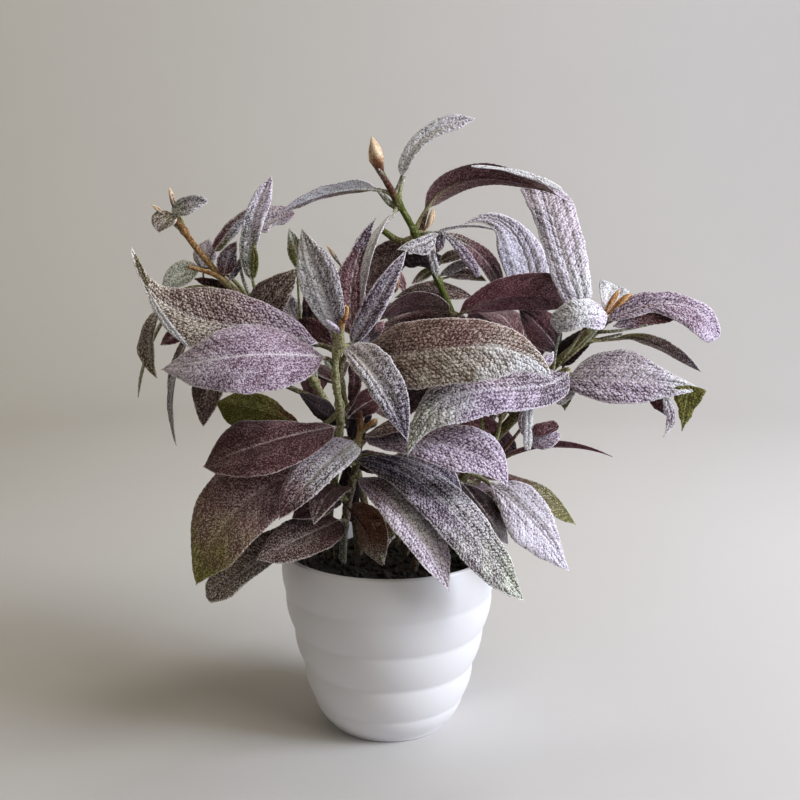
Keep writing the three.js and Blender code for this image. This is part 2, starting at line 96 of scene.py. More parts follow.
# Leaf: a name for the reader, place on the stem (0 foot, 1 tip), width, fold in degrees along the
# midrib, the way the upper face looks, and the points of the midrib. Then the finish: looks of the
# upper face from base to tip (left half / right half, seen with the tip up), looks of the underside
# in the same way, how strongly the face is pebbled and, where it isn't 1, how pale the midrib and the
# margin are. Where the shape isn't the plain one, then how deeply the blade is pleated, the half
# widths in mm at seven places evenly spaced from base to tip, those of the right half where they
# differ from the left half's, and the turn about the midrib in degrees from base to tip.
LEAVES = {"front": [
    ("frosted_front", 0.92, 24, 6, (-0.3, -2, 1.4), [(-16, -32, 148), (-29, -54, 141), (-47, -63, 120)],
     ("white silver plum / pale grey plum", "plum", 0.5),
     0.4, (4, 8, 9, 8, 7, 5, 0), (5, 9, 12, 12, 10, 7, 0)),
    ("plum_low", 0.36, 22, 4, RAISED, [(-23, -18, 107), (-40, -40, 105), (-59, -48, 97)],
     ("plum brown brown", "maroon", 0.3), 0.3, (2, 9, 11, 11, 10, 7, 0)),
    ("rust_frill", 0.42, 22, 14, (1, 3, 1), [(-18, -20, 113), (-9, -36, 105), (-3, -41, 92)],
     ("plum", "rust rust tan", 0.3)),
    # Painted light: the left half is whiter than the right towards its middle, making up for the shade it
    # lies in, turned away from the window light.
    ("lilac_over_rim", 0.66, 22, 8, (1, -3, 3), [(-14, -24, 129), (9, -56, 117), (26, -66, 89)],
     ("ash white pale / mauve pale pale", "green", 0.7),
     0.4, (3, 8, 12, 13, 12, 8, 0), (2, 6, 8, 9, 8, 6, 0)),
    ("long_over_rim", 0.76, 25, 6, (1, -2, 2),
     [(-16, -25, 138), (16, -45, 130), (38, -58, 110), (60, -54, 80)],
     ("slate silver sage / slate dusk mint", "plum", 0.8),
     0.5, (2, 7, 10, 11, 10, 8, 0), (3, 8, 12, 13, 13, 9, 0)),
    ("lilac_right", 0.9, 26, 6, (0, -3, 4),
     [(-11, -27, 149), (16, -45, 151), (37, -54, 146), (52, -50, 131)], ("lilac", "maroon", 0.8),
     0.4, (2, 6, 9, 11, 13, 11, 1), (3, 8, 11, 13, 12, 5, 0), (0, 0, -20)),
    ("plum_small", 0.97, 14, 8, (0, -1, 2), [(-10, -26, 150), (0, -36, 155), (12, -40, 157)],
     ("brown", "maroon", 0.5)),
    ("maroon_tip", 0.8, 18, 8, RAISED, [(2, -26, 140), (18, -36, 137), (33, -38, 126)],
     ("grey dusk slate", "maroon", 0.4)),
], "front_left": [
    # Painted light: the pale tip makes up for the shade it falls into at the left, farthest from the window
    # light.
    ("mauve_left", 0.82, 33, -6, (0, -3, 2), [(-28, -38, 187), (-61, -58, 190), (-98, -50, 183)],
     ("mauve mauve pale", "maroon", 0.3, 1.4), 0.2, (2, 12, 16, 17, 14, 9, 0), (2, 12, 16, 17, 14, 8, 0)),
    ("curled_left", 0.9, 34, 4, RAISED,
     [(-32, -26, 192), (-68, -33, 200), (-100, -28, 210), (-116, -22, 235)],
     ("mauve tan sand / mauve brown sand", "maroon", 0.9),
     0.3, (3, 10, 15, 16, 9, 2, 1), (3, 12, 18, 19, 14, 5, 1), (0, 0, 0, -50)),
    ("silver_drop", 0.95, 17, 10, (0.3, -3, 1), [(-19, -42, 192), (-4, -68, 179), (8, -68, 155)],
     ("silver grey slate / silver silver slate", "plum", 0.4),
     0.4, (2, 8, 10, 10, 9, 6, 0), (2, 4, 5, 5, 5, 3, 0)),
    ("brown_to_silver", 0.78, 30, -8, (0, -2, 1),
     [(-16, -36, 190), (25, -66, 194), (48, -67, 194), (69, -60, 180)],
     ("brown rosy tan / rosy sand white", "maroon", 0.8),
     0.15, (13, 16, 16, 14.5, 12, 7, 0), (5, 11, 15, 15, 14, 8, 0)),
    ("grey_tall", 0.93, 18, 8, (-1, -4, 0), [(-22, -39, 197), (-29, -45, 219), (-38, -34, 243)],
     ("white / grey grey silver", "slate", 0.5), 0.5, (2, 6, 8, 9, 8, 5, 0), (2, 6, 8, 9, 8, 4, 0)),
    ("mauve_tall", 0.92, 20, 8, FRONT, [(-16, -27, 195), (-17, -14, 218), (-6, 2, 249)],
     ("plum plum slate", "plum", 0.5), 0.4, (3, 7, 8, 7, 4.5, 2.5, 0), (3, 6, 7, 6, 4, 2, 0)),
    ("lilac_slim", 0.9, 10, 10, FRONT, [(-17, -32, 192), (-4, -34, 214), (8, -28, 234)],
     ("dusk", "plum", 0.4), 0.5, (2, 4, 5, 5, 4, 2.5, 0)),
    ("plum_left", 0.66, 29, 4, RAISED, [(-24, -34, 155), (-53, -49, 151), (-83, -41, 138)],
     ("plum", "maroon", 0.3), 0.4, (3, 11, 15, 17, 14, 9, 0), (2, 5, 9, 13, 15, 13, 0)),
    ("olive_hook", 0.7, 20, 18, (0, 2, -1), [(-41, -24, 154), (-60, -26, 161), (-80, -22, 164)],
     ("plum", "rust pickle pickle", 0.3), 0.2, (2, 4, 8, 9, 9, 7, 0), (2, 4, 8, 11, 11, 8, 0)),
    ("broad_plum", 0.5, 35, 4, (-1, -3, 1), [(-30, -28, 136), (-66, -45, 121), (-86, -50, 86)],
     ("plum rosy fern / plum rosy fern", "plum", 0.3, 0.5),
     0.1, (4, 10, 15, 16, 15, 12, 0), (5, 12, 18, 20, 17, 9, 0)),
    # Painted light: tan looks lighter than the leaf's own colour, making up for the deep shade it lies in
    # under the leaves above.
    ("under_plum", 0.26, 20, 4, (-1, -2, 2), [(-32, -16, 109), (-58, -34, 93), (-84, -38, 76)],
     ("brown tan tan", "maroon", 0.5), 0.4, (2, 3, 4, 5, 6, 8, 4), (3, 8, 11, 13, 14, 14, 6)),
    ("dark_wedge", 0.4, 16, 6, RAISED, [(-27, -22, 122), (-34, -31, 118), (-44, -36, 113)],
     ("dark plum plum", "dark", 0.3)),
    ("dark_short", 0.72, 14, 6, RAISED, [(-19, -25, 157), (-10, -22, 164), (4, -18, 168)],
     ("dark maroon maroon", "dark", 0.3)),
    ("dark_drop", 0.72, 11, 6, RAISED, [(-22, -18, 153), (-31, -22, 161), (-41, -25, 169)],
     ("dark", "dark", 0.1, 0.2)),
], "centre": [
    ("silver_wrap", 0.83, 10, 10, (0, -2, 1), [(24, -4, 241), (15, -9, 237), (4, -11, 234)],
     ("silver", "plum", 0.3), 0.9, (1, 2, 5, 7, 5, 2, 0), (1, 3, 3, 3, 3, 2, 0)),
    ("silver_top", 0.93, 9, 20, (-1, -4, 2), [(6, 0, 268), (14, 0, 283), (26, 0, 291), (40, 0, 294)],
     ("snow snow pale", "slate", 0.5), 0.3, (2.5, 3.5, 4, 4.4, 4.4, 3.4, 0), (2.5, 3.5, 4, 4.4, 5, 5, 1)),
    ("edge_on_left", 0.92, 12, 14, (0, 2, 3), [(-5, 0, 262), (-20, 0, 262), (-36, 0, 258), (-51, 0, 251)],
     ("white white silver", "white white pale / fern mauve tan", 0.3),
     0.2, (1, 5, 5, 4.5, 3.5, 2.5, 0), (1, 5, 5, 4.5, 3.5, 3, 0)),
    ("lilac_hanging", 0.91, 10, 20, (-1, -1, 0), [(2, -3, 251), (-8, -20, 233), (-12, -27, 208)],
     ("snow white pale", "silver lilac silver", 0.3), 0.2, (1, 2, 3.5, 3.5, 3, 2, 0)),
    ("maroon_arch", 0.84, 15, 12, (0, 1, 1), [(17, 2, 252), (31, 4, 265), (58, -1, 266), (85, -12, 255)],
     ("lilac", "rosy plum plum / plum plum rosy", 0.3),
     0.3, (2, 8, 7.5, 6, 6, 5, 0), (2, 7, 8, 8, 7, 6, 0), (0, 0, -20, -80)),
    ("olive_fold", 0.83, 13, 14, (1, -4, 3), [(24, 2, 241), (42, 5, 233), (54, 7, 215)],
     ("tan plum dark", "maroon", 0.4), 0.3, (1, 3, 4, 5, 5.5, 5, 2), (1, 3, 5, 6, 6, 5, 2)),
    ("maroon_inner", 0.82, 24, 10, (0, 1, 0), [(7, 0, 238), (-1, 2, 225), (-7, 3, 204)],
     ("maroon", "brown brown maroon", 0.4), 0.2, (3, 8, 11, 11, 9, 6, 0), (3, 7, 7, 6, 5, 3, 0)),
    ("dark_low_left", 0.62, 20, 8, (0, 1, 2), [(29, -3, 205), (14, -6, 208), (-4, -5, 201)],
     ("dark", "brown plum plum", 0.4), 0.2, (3, 8, 11, 12, 10, 6, 0), (2, 5, 6, 6, 6, 5, 0)),
    ("dark_arch", 0.64, 20, 14, (0, 2, 1), [(33, -8, 204), (55, -7, 212), (84, 1, 208)],
     ("plum", "maroon maroon plum", 0.3), 0.3, (1, 5, 8, 9, 9, 8, 4), (2, 6, 9, 11, 12, 12, 8)),
    ("thin_above", 0.84, 8, 6, (0, 1, 3), [(24, -2, 243), (36, -2, 245), (50, -2, 243)],
     ("lilac lilac silver", "silver", 0.2), 0.1, (0.6, 1, 1, 1, 1, 1, 0.5)),
    ("small_olive", 0.76, 6, 6, RAISED, [(22, 4, 226), (17, 2, 222), (11, 0, 218)],
     ("pickle olive brown", "olive", 0.2)),
    ("small_purple", 0.76, 7, 6, RAISED, [(24, 6, 227), (31, 7, 231), (39, 7, 232)],
     ("brown tan brown", "plum", 0.2)),
    ("small_brown", 0.72, 8, 6, RAISED, [(28, 6, 221), (37, 7, 222), (47, 7, 219)],
     ("brown brown pickle", "olive", 0.2)),
], "left": [
    ("tuft_silver", 0.97, 10, 20, (0, -2, 1), [(-103, 5, 251), (-95, 2, 255), (-85, 0, 256)],
     ("mint silver silver", "slate", 0.3), 0.6, (2, 3, 4, 4, 4, 3, 1), (2, 4, 6, 7, 6, 4, 1)),
    ("tuft_olive", 0.97, 15, 20, RAISED, [(-102, 5, 250), (-105, 2, 248), (-108, -2, 242)],
     ("olive tan tan", "green", 0.3)),
    ("brown_blade", 0.8, 9, 10, (0, -2, -1), [(-84, 6, 233), (-75, 6, 244), (-65, 6, 254)],
     ("maroon brown brown / olive silver lilac", "brown plum lilac", 0.3),
     0.3, (2, 3, 3.5, 3.5, 3, 2, 0)),
    ("purple_inner", 0.76, 13, 10, FRONT, [(-79, 4, 222), (-77, 3, 229), (-72, 2, 238)],
     ("plum dusk plum", "plum", 0.3), 0.3, (2, 4, 5, 4.5, 3.5, 2, 0)),
    ("slim_upright", 0.6, 9, 16, FRONT, [(-65, 2, 219), (-65, -2, 241), (-55, 0, 268)],
     ("sage silver pale / green pale pale", "green", 0.3),
     0.4, (2, 4, 5, 4, 4, 3, 0), (1, 3, 4, 5, 6, 5, 1)),
    ("lilac_flag", 0.62, 12, 6, RAISED, [(-63, 6, 243), (-55, 8, 248), (-45, 8, 251)],
     ("pale pale mauve", "slate", 0.3), 0.3, (3, 6, 9, 9, 8, 6, 1), (3, 5, 4, 4, 5, 4, 2)),
    ("mint_behind", 0.74, 12, 6, FRONT, [(-91, 8, 225), (-99, 8, 223), (-109, 6, 215)],
     ("frost frost mint", "olive", 0.3)),
    ("mint_upright", 0.73, 11, 6, FRONT, [(-90, 10, 224), (-89, 11, 231), (-87, 12, 239)],
     ("white pale pale", "olive", 0.3)),
    ("brown_mid", 0.45, 26, 8, RAISED, [(-66, -2, 196), (-54, -7, 211), (-41, -8, 226)],
     ("brown brown tan", "maroon", 0.7), 0.3, (4, 11, 13, 12, 9, 5, 0), (3, 8, 9, 9, 7, 4, 0)),
    ("olive_tip", 0.5, 8, 6, FRONT, [(-44, 9, 224), (-45, 9, 235), (-48, 9, 244)],
     ("green olive mint", "green", 0.2)),
    ("brown_hanging", 0.74, 14, 14, (-1, -1, 1), [(-107, 2, 209), (-114, -4, 192), (-111, -4, 173)],
     ("tan tan moss", "olive", 0.5), 0.5, (1, 3, 5, 6, 6, 3, 0), (1, 4, 6, 7, 8, 5, 0)),
    ("olive_sliver", 0.7, 9, 8, (-1, 0, 0), [(-108, 6, 203), (-118, 8, 184), (-123, 6, 162)],
     ("olive olive brown", "olive", 0.2)),
    ("twisted_hanging", 0.62, 13, 14, (-2, -1, 0), [(-92, -2, 200), (-103, -8, 168), (-102, -8, 141)],
     ("brown silver tan", "brown", 0.3)),
    ("dark_hanging", 0.5, 20, 10, (-1, -2, 0), [(-76, -4, 192), (-85, -12, 169), (-88, -12, 151)],
     ("plum brown brown", "maroon", 0.4)),
    ("blue_inner", 0.5, 12, 8, FRONT, [(-44, 13, 198), (-49, 14, 206), (-52, 14, 214)],
     ("grey", "slate", 0.3)),
    ("brown_bit", 0.66, 10, 6, RAISED, [(-97, 9, 197), (-105, 8, 192), (-111, 6, 188)],
     ("rust maroon maroon", "maroon", 0.2)),
], "right": [
    ("white_flap", 0.95, 14, 10, FRONT, [(101, -10, 206), (103, -6, 211), (106, -2, 218)],
     ("pale white white", "lilac", 0.3), 0.2, (1, 2, 3, 4, 5, 6, 6), (1, 3, 4, 6, 7, 8.5, 8.5)),
    ("lilac_far_right", 0.95, 19, 8, RAISED,
     [(102, -13, 201), (120, -17, 209), (139, -17, 208), (154, -14, 194)],
     ("lilac mauve lilac", "plum maroon maroon", 0.6),
     0.4, (3, 7, 7, 6, 5, 5, 1), (2, 5, 5, 10, 15, 15, 8)),
    ("olive_edge_on", 0.92, 11, 12, (0, 2, 3),
     [(107, -10, 193), (124, -6, 191), (138, -4, 184), (150, -2, 176)],
     ("olive olive brown", "pickle brown slate", 0.3), 0.2, (1, 3, 4.5, 4.5, 4, 2.5, 0)),
    ("lilac_bent", 0.78, 28, 4, (0, -3, 2),
     [(83, -15, 174), (102, -24, 175), (121, -27, 174), (143, -27, 171)],
     ("pale pale white / lilac lilac white", "maroon", 0.7),
     0.5, (4, 12, 15, 14.5, 9, 4, 0), (4, 9, 12, 11, 8, 4, 0)),
    ("tall_lilac", 0.84, 24, -6, (0, -4, 1), [(91, -12, 205), (81, -8, 232), (77, 4, 252), (74, 18, 267)],
     ("pearl pearl pale / white pale pale", "maroon", 0.6),
     0.5, (5, 7.5, 8, 8, 8.5, 10, 11), (6, 9, 11, 12, 12, 11, 3)),
    ("silver_lip", 0.86, 15, -14, (0, -2, 1), [(101, -16, 204), (85, -27, 206), (74, -22, 201)],
     ("pale white white", "plum", 0.7), 0.5, (5, 8, 8, 7, 7, 7, 5), (5, 7, 8, 7, 7, 6, 4)),
    ("lilac_under", 0.74, 20, -6, (0, -2, 1),
     [(83, -19, 178), (54, -44, 174), (22, -60, 170), (8, -61, 147)],
     ("dusk lilac frost / dusk ash frost", "plum", 0.8),
     0.4, (4, 9, 10, 11, 12, 7, 0), (5, 9, 10, 11, 11, 5, 0)),
    ("inner_dark", 0.66, 22, 8, RAISED, [(83, 6, 185), (75, 5, 195), (63, 6, 206)],
     ("dark maroon dark", "dark maroon maroon", 0.3)),
], "low_right": [
    ("lilac_narrow", 0.4, 15, 6, (1, -2, 1), [(34, -20, 126), (45, -32, 114), (55, -34, 100)],
     ("dark dark white", "plum", 0.4)),
    ("lilac_hang_right", 0.62, 24, 4, (1, -3, 1), [(48, -20, 125), (63, -36, 114), (83, -36, 88)],
     ("pearl / pale pearl pearl", "plum", 0.5), 0.4, (4, 11, 12, 11, 7, 3, 0), (3, 5, 10, 13, 10, 6, 0)),
    ("brown_behind", 0.6, 14, 8, (1, -1, 2), [(54, -12, 128), (74, -14, 118), (90, -12, 103)],
     ("maroon olive pickle", "green", 0.4, 0.4), 0.2, (1, 3, 5, 6, 5, 3, 0), (2, 6, 10, 11, 10, 6, 0)),
    ("silver_hook", 0.98, 10, 10, (-1, -3, 1),
     [(66, -20, 163), (65, -28, 150), (70, -31, 149), (77, -30, 152)], ("lilac", "sage white lilac", 0.3),
     0.1, (2, 2, 2, 3, 5, 5, 2)),
    ("thin_right", 0.66, 5, 10, (0, 1, 1), [(54, -12, 136), (76, -12, 142), (107, -10, 136)],
     ("maroon maroon brown", "maroon", 0.2), 0.1, (1, 2, 2, 3, 2, 1, 0)),
], "back_right": [
    # Painted light: near-white looks for a lilac leaf, making up for the shade that tall_lilac casts on it.
    ("silver_back", 0.95, 21, 6, (0, -2, 1), [(72, 22, 211), (67, 24, 233), (58, 28, 246), (37, 30, 246)],
     ("pearl", "plum", 0.5), 0.4, (3, 11, 13, 12, 7, 3, 0), (3, 9, 10, 8, 5, 3, 0)),
]}

# Leaf that grows by rule: place on the stem, heading (0 = +X, 90 = +Y), rise of the blade at its
# base and how far it bends down by its tip, all in degrees, then length and width.
GROWN = {"front": [
    (0.6, 250, 10, 40, 40, 17),
], "front_left": [
    (0.36, 200, 0, 50, 52, 24),
], "centre": [
    (0.3, 75, 20, 45, 50, 20), (0.55, 95, 0, 60, 50, 22),
], "left": [
    (0.28, 175, 0, 55, 55, 24), (0.3, 135, 20, 60, 55, 22), (0.52, 120, 10, 50, 55, 22),
    (0.7, 100, 10, 60, 50, 22),
], "right": [
    (0.36, 30, -10, 50, 46, 20), (0.62, 120, 20, 60, 50, 22), (0.72, 60, 5, 60, 46, 22),
], "low_right": [
    (0.45, 350, 0, 50, 46, 20),
], "back_left": [
    (0.35, 165, 5, 50, 62, 26), (0.36, 100, 10, 60, 55, 24), (0.6, 110, 10, 60, 66, 28),
    (0.62, 195, 10, 50, 60, 26), (0.85, 150, 30, 60, 60, 26), (0.8, 100, 10, 70, 50, 22),
], "back": [
    (0.3, 95, 0, 50, 60, 26), (0.5, 140, 10, 60, 60, 26), (0.55, 40, 10, 60, 64, 28),
    (0.72, 50, 10, 60, 56, 24), (0.8, 95, 25, 70, 68, 28), (0.85, 350, 5, 60, 40, 20),
    (0.95, 140, 30, 70, 55, 24),
], "back_right": [
    (0.35, 80, 0, 50, 58, 26), (0.3, 25, -5, 50, 60, 26), (0.65, 80, 10, 60, 56, 26),
    (0.85, 75, 20, 70, 62, 26), (0.9, 120, 30, 70, 58, 24),
]}

# Fold of a blade, or a small blade, that only these fine leaves have: its looks from base to tip, the
# way it faces, the half widths, of the left and the right half where they differ, and its middle.
# The folds with dark looks sit deep inside the plant and are coloured dark as painted shade.
FOLDS = {"left": [
    ("maroon dark plum", FRONT, [(0, 1.5, 2, 2.5, 2.5, 2, 0)],
     (-94, 9, 220), (-87, 9, 218), (-78, 9, 215)),
    ("grey slate grey", FRONT, [(1, 1.5, 1.5, 1.5, 1.5, 1, 0)],
     (-70, 3, 230), (-73, 3, 224), (-77, 4, 219)),
    ("green pickle olive", FRONT, [(1, 1.5, 1.7, 1.7, 1.5, 1, 0)],
     (-65, 0, 220), (-63, -3, 229), (-64, -4, 238)),
], "front": [
    ("sand sage frost", FRONT, [(0, 0.7, 1, 1.2, 1, 0.8, 0)],
     (3, -38, 105), (-2, -40, 100), (-2, -42, 93)),
    ("rust rust olive", FRONT, [(1, 2, 3, 3, 3, 2, 0)], (-8, -37, 112), (-3, -37, 109), (3, -37, 104)),
    ("dark", FRONT, [(1, 4, 5, 5, 5, 4, 1)], (-17, -12, 144), (-14, -12, 154), (-10, -12, 165)),
    ("dark plum dark", RAISED, [(2, 5, 6, 6, 5, 4, 1)], (-17, -12, 136), (-5, -14, 134), (7, -16, 133)),
    ("dark", FRONT, [(2, 4, 5, 5, 4, 4, 1)], (-19, -8, 131), (-19, -6, 118), (-18, -4, 102)),
    ("dark plum plum", RAISED, [(2, 4, 5, 6, 5, 4, 1)],
     (-22, -14, 116), (-33, -20, 115), (-43, -26, 111)),
    ("pickle mint pickle", RAISED, [(1, 2, 3, 3, 2, 1, 0), (1, 2, 2, 2, 2, 1, 0)],
     (-19, -22, 118), (-23, -26, 123), (-24, -28, 129)),
], "front_left": [
    ("dusk dark plum", FRONT, [(1, 3, 3, 3, 3, 2, 0)], (-13, -18, 190), (-8, -16, 195), (-2, -12, 201)),
    ("dark dark plum", FRONT, [(0, 2, 3, 3, 3, 2, 0)], (-44, 14, 195), (-40, 14, 203), (-42, 14, 211)),
    ("olive moss olive", FRONT, [(0, 1, 1.1, 1.2, 1.1, 0.8, 0)],
     (-107, -29, 217), (-111, -26, 225), (-114, -24, 232)),
    ("white", FRONT, [(0, 1, 1.3, 1.5, 1.4, 1, 0), (0, 1, 1.5, 2, 1.8, 1, 0)],
     (-106, -34, 216), (-97, -45, 204), (-85, -50, 192)),
    ("dark plum dark", FRONT, [(1, 3, 3, 3, 3, 2, 1)], (-16, -34, 185), (-15, -32, 176), (-18, -28, 166)),
    ("dark dark plum", FRONT, [(2, 4, 6, 6, 5, 4, 1)], (21, -34, 173), (11, -34, 169), (5, -34, 158)),
    ("plum maroon dark", FRONT, [(1, 4, 6, 6, 5, 4, 0)],
     (-26, -18, 191), (-34, -16, 196), (-42, -12, 202)),
], "centre": [
    ("silver lilac lilac", FRONT, [(1, 1.5, 2, 2.5, 2.5, 2, 1)],
     (26, 0, 242), (34, -1, 234), (43, 0, 221)),
    ("brown plum brown", RAISED, [(0, 5, 7, 7, 6, 5, 1)], (39, 2, 201), (13, 0, 200), (-7, -4, 193)),
    ("brown", RAISED, [(0, 4, 6, 6, 5, 3, 0), (0, 3, 5, 6, 5, 3, 0)],
     (41, 6, 211), (22, 5, 215), (3, 4, 211)),
    ("silver silver mint", FRONT, [(1, 2, 2, 2, 2, 1, 0)], (19, -6, 235), (21, -6, 228), (23, -4, 220)),
    ("slate slate plum", FRONT, [(0, 1, 2, 2, 2, 1, 0)], (24, -6, 243), (24, -7, 237), (22, -7, 232)),
    ("dark", FRONT, [(1, 3, 4, 3, 4, 3, 1), (1, 3, 4, 4, 3, 2, 1)],
     (25, -2, 231), (15, -3, 229), (4, -3, 231)),
    ("white", RAISED, [(1, 1, 1, 2, 2, 2, 1)], (38, -6, 272), (60, -8, 269), (79, -13, 261)),
    ("grey grey mauve", RAISED, [(0, 2, 3, 3, 2, 1, 0)], (24, 6, 221), (33, 6, 226), (45, 6, 230)),
    ("rust ochre rust", FRONT, [(0, 1, 1, 1, 1, 1, 0)], (5, -9, 224), (4, -9, 219), (3, -9, 214)),
], "right": [
    ("lilac plum maroon", (0, -2, 1), [(1, 3, 5, 7, 7, 6, 1), (1, 2, 3, 3, 3, 3, 1)],
     (104, -16, 199), (117, -20, 202), (132, -20, 204)),
    ("slate lilac pale", FRONT, [(0, 1, 2, 2, 2, 1, 0)], (66, -46, 184), (70, -44, 187), (72, -42, 190)),
    ("pickle", FRONT, [(9, 7, 6, 4, 3, 1, 0)], (137, -28, 173), (136, -28, 164), (134, -29, 152)),
    ("white lilac white", FRONT, [(1, 2, 2, 2, 2, 1, 0), (1, 2, 3, 2, 2, 1, 0)],
     (125, -28, 168), (129, -28, 159), (126, -28, 149)),
    ("maroon maroon slate", FRONT, [(2, 3, 3, 3, 2, 1, 0)],
     (121, -26, 168), (124, -26, 164), (127, -26, 159)),
    ("dark", RAISED, [(1, 5, 6, 6, 5, 3, 0)], (80, -6, 179), (89, -6, 190), (100, -8, 198)),
], "low_right": [
    ("tan white white", RAISED, [(0, 2, 3, 3, 2.5, 2, 1), (0, 2, 4, 4, 3, 2, 1)],
     (76, -14, 165), (81, -16, 166), (87, -16, 168)),
    ("maroon plum plum", FRONT, [(2, 3, 3, 3, 3, 3, 1), (2, 3, 3, 3, 2.5, 2, 1)],
     (65, -34, 153), (70, -34, 154), (77, -33, 155)),
    # Painted light: a white strip in front of silver_hook's bend, standing in for the light on the bend,
    # whose own face is turned from the window light.
    ("white", FRONT, [(1.5, 2, 2, 2, 2, 2, 1)], (63, -34, 165), (63, -34, 154), (63, -34, 144)),
    ("dark maroon maroon", RAISED, [(2, 6, 8, 8, 7, 4, 0)], (62, -6, 137), (48, -4, 147), (30, -4, 157)),
]}

# Side shoot or petiole that is thicker than the rest: its radius, its looks and its middle line.
TWIGS = {"front": [
    (1.6, "petiole honey rust", (-15, -30, 143), (-13, -32, 153), (-13, -33, 162)),
    (1.2, "petiole honey ochre", (-13, -32, 152), (-10, -34, 155), (-7, -35, 158)),
], "left": [
    (1.3, "petiole honey honey", (-74, 6, 215), (-83, 2, 222), (-95, 0, 226)),
], "centre": [
    (1.7, "olive rust tan", (5, 0, 253), (1, -1, 262), (-5, -1, 271)),
    (1.9, "olive olive green", (14, 0, 238), (5, -2, 238), (-3, -3, 243)),
    (1.5, "green mint mint", (5, 0, 253), (0, 0, 256), (-5, 0, 262)),
    (1.4, "green petiole mint", (5, 0, 253), (5, 0, 261), (7, 0, 268)),
    (1.5, "olive brown brown", (14, 0, 238), (16, 1, 246), (18, 2, 253)),
], "right": [
    (0.8, "olive mint mint", (97, -14, 196), (106, -17, 197), (118, -22, 200)),
    (0.7, "petiole mint mint", (77, -14, 177), (78, -15, 188), (80, -16, 199)),
    (0.8, "olive petiole tan", (78, -13, 179), (84, -16, 188), (90, -18, 198)),
    (0.8, "olive petiole mint", (79, -13, 180), (88, -15, 188), (97, -16, 198)),
    (0.9, "olive olive mint", (80, -12, 182), (94, -12, 191), (109, -12, 195)),
], "low_right": [
    (1.0, "olive petiole green", (46, -16, 136), (45, -16, 147), (43, -16, 158)),
    (1.1, "petiole petiole olive", (47, -17, 137), (51, -18, 148), (53, -18, 160)),
    (1.0, "olive rust brown", (49, -15, 134), (56, -15, 142), (62, -15, 150)),
    (0.9, "rust rust brown", (46, -16, 133), (38, -16, 140), (32, -16, 145)),
], "front_left": [
    (2.0, "petiole petiole honey", (-21, -42, 192), (-21, -45, 198), (-20, -47, 204)),
    (1.1, "rust ochre ochre", (-20, -47, 203), (-18, -48, 207), (-18, -48, 210)),
    (1.2, "mauve pale pale", (-21, -46, 199), (-24, -48, 202), (-27, -48, 204)),
    (1.2, "petiole petiole mint", (-24, -28, 169), (-24, -32, 178), (-28, -37, 185)),
    (1.3, "petiole brown maroon", (-22, -22, 157), (-17, -27, 165), (-13, -32, 174)),
]}

# ---- colours
# Look: colour of the skin in its grooves, where it also stands for painted shade, colour of the down on top,
# and how much down there is.
LOOKS = {
    "mauve": ((84, 44, 66), (222, 206, 224), 0.35),
    "lilac": ((88, 58, 84), (234, 220, 238), 0.42),
    "pale": ((104, 82, 104), (240, 230, 242), 0.6),
    "white": ((120, 112, 122), (246, 246, 250), 0.7),
    "silver": ((66, 52, 58), (236, 231, 237), 0.46),
    "grey": ((58, 46, 52), (222, 214, 222), 0.45),
    "ash": ((76, 52, 62), (228, 213, 224), 0.3),
    "honey": ((120, 76, 36), (218, 186, 136), 0.2),
    "dusk": ((58, 40, 48), (208, 196, 212), 0.2),
    "slate": ((46, 32, 40), (196, 186, 206), -0.05),
    "plum": ((64, 30, 33), (174, 136, 140), 0.05),
    # dark: deep maroon made near black, painted shade for leaves and folds deep inside the plant
    "dark": ((24, 10, 11), (120, 86, 92), -0.35),
    "maroon": ((66, 24, 29), (156, 110, 118), -0.08),
    "snow": ((104, 98, 112), (253, 253, 255), 0.75),
    "pearl": ((112, 96, 118), (246, 240, 252), 0.74),
    "fern": ((86, 78, 24), (188, 180, 112), 0.12),
    "frost": ((98, 98, 70), (240, 242, 228), 0.6),
    "rosy": ((94, 58, 54), (216, 190, 184), 0.14),
    "sand": ((104, 82, 66), (232, 224, 212), 0.34),
    "rust": ((80, 42, 28), (180, 138, 112), -0.12),
    "brown": ((66, 38, 34), (210, 190, 184), 0.05),
    "tan": ((84, 62, 50), (228, 220, 208), 0.22),
    "moss": ((70, 56, 24), (212, 204, 170), 0.12),
    "olive": ((74, 64, 24), (206, 200, 164), -0.05),
    "green": ((78, 86, 26), (190, 196, 132), -0.07),
    "pickle": ((72, 68, 16), (164, 160, 84), 0.05),
    "mint": ((84, 84, 58), (234, 236, 224), 0.42),
    "sage": ((70, 70, 44), (222, 224, 208), 0.2),
    "petiole": ((96, 92, 40), (206, 202, 160), 0.42),
    "bark": ((70, 56, 38), (160, 148, 122), 0.2),
    "ochre": ((150, 88, 36), (232, 190, 130), 0.4),
    "peach": ((176, 116, 66), (246, 222, 190), 0.7),
}
PALE_DOWN = (240, 234, 232)
# Looks of the grown leaves, darkened as painted shade: those that show through gaps lie deep in the plant's
# shade.
GROWN_FINISHES = [
    ("plum plum moss", "maroon", 0.5),
    ("plum plum brown", "maroon maroon olive", 0.5),
    ("plum dusk mauve", "maroon", 0.7),
    ("brown brown olive / plum brown olive", "rust olive olive", 0.8),
    ("maroon maroon plum", "plum", 0.5),
]
STEM_FINISHES = {
    "front": "mint bark olive", "front_left": "bark petiole petiole", "centre": "bark green green",
    "left": "bark petiole honey", "right": "bark olive petiole", "low_right": "bark olive olive",
    "back_left": "bark olive olive", "back": "bark olive green", "back_right": "bark brown olive",
}
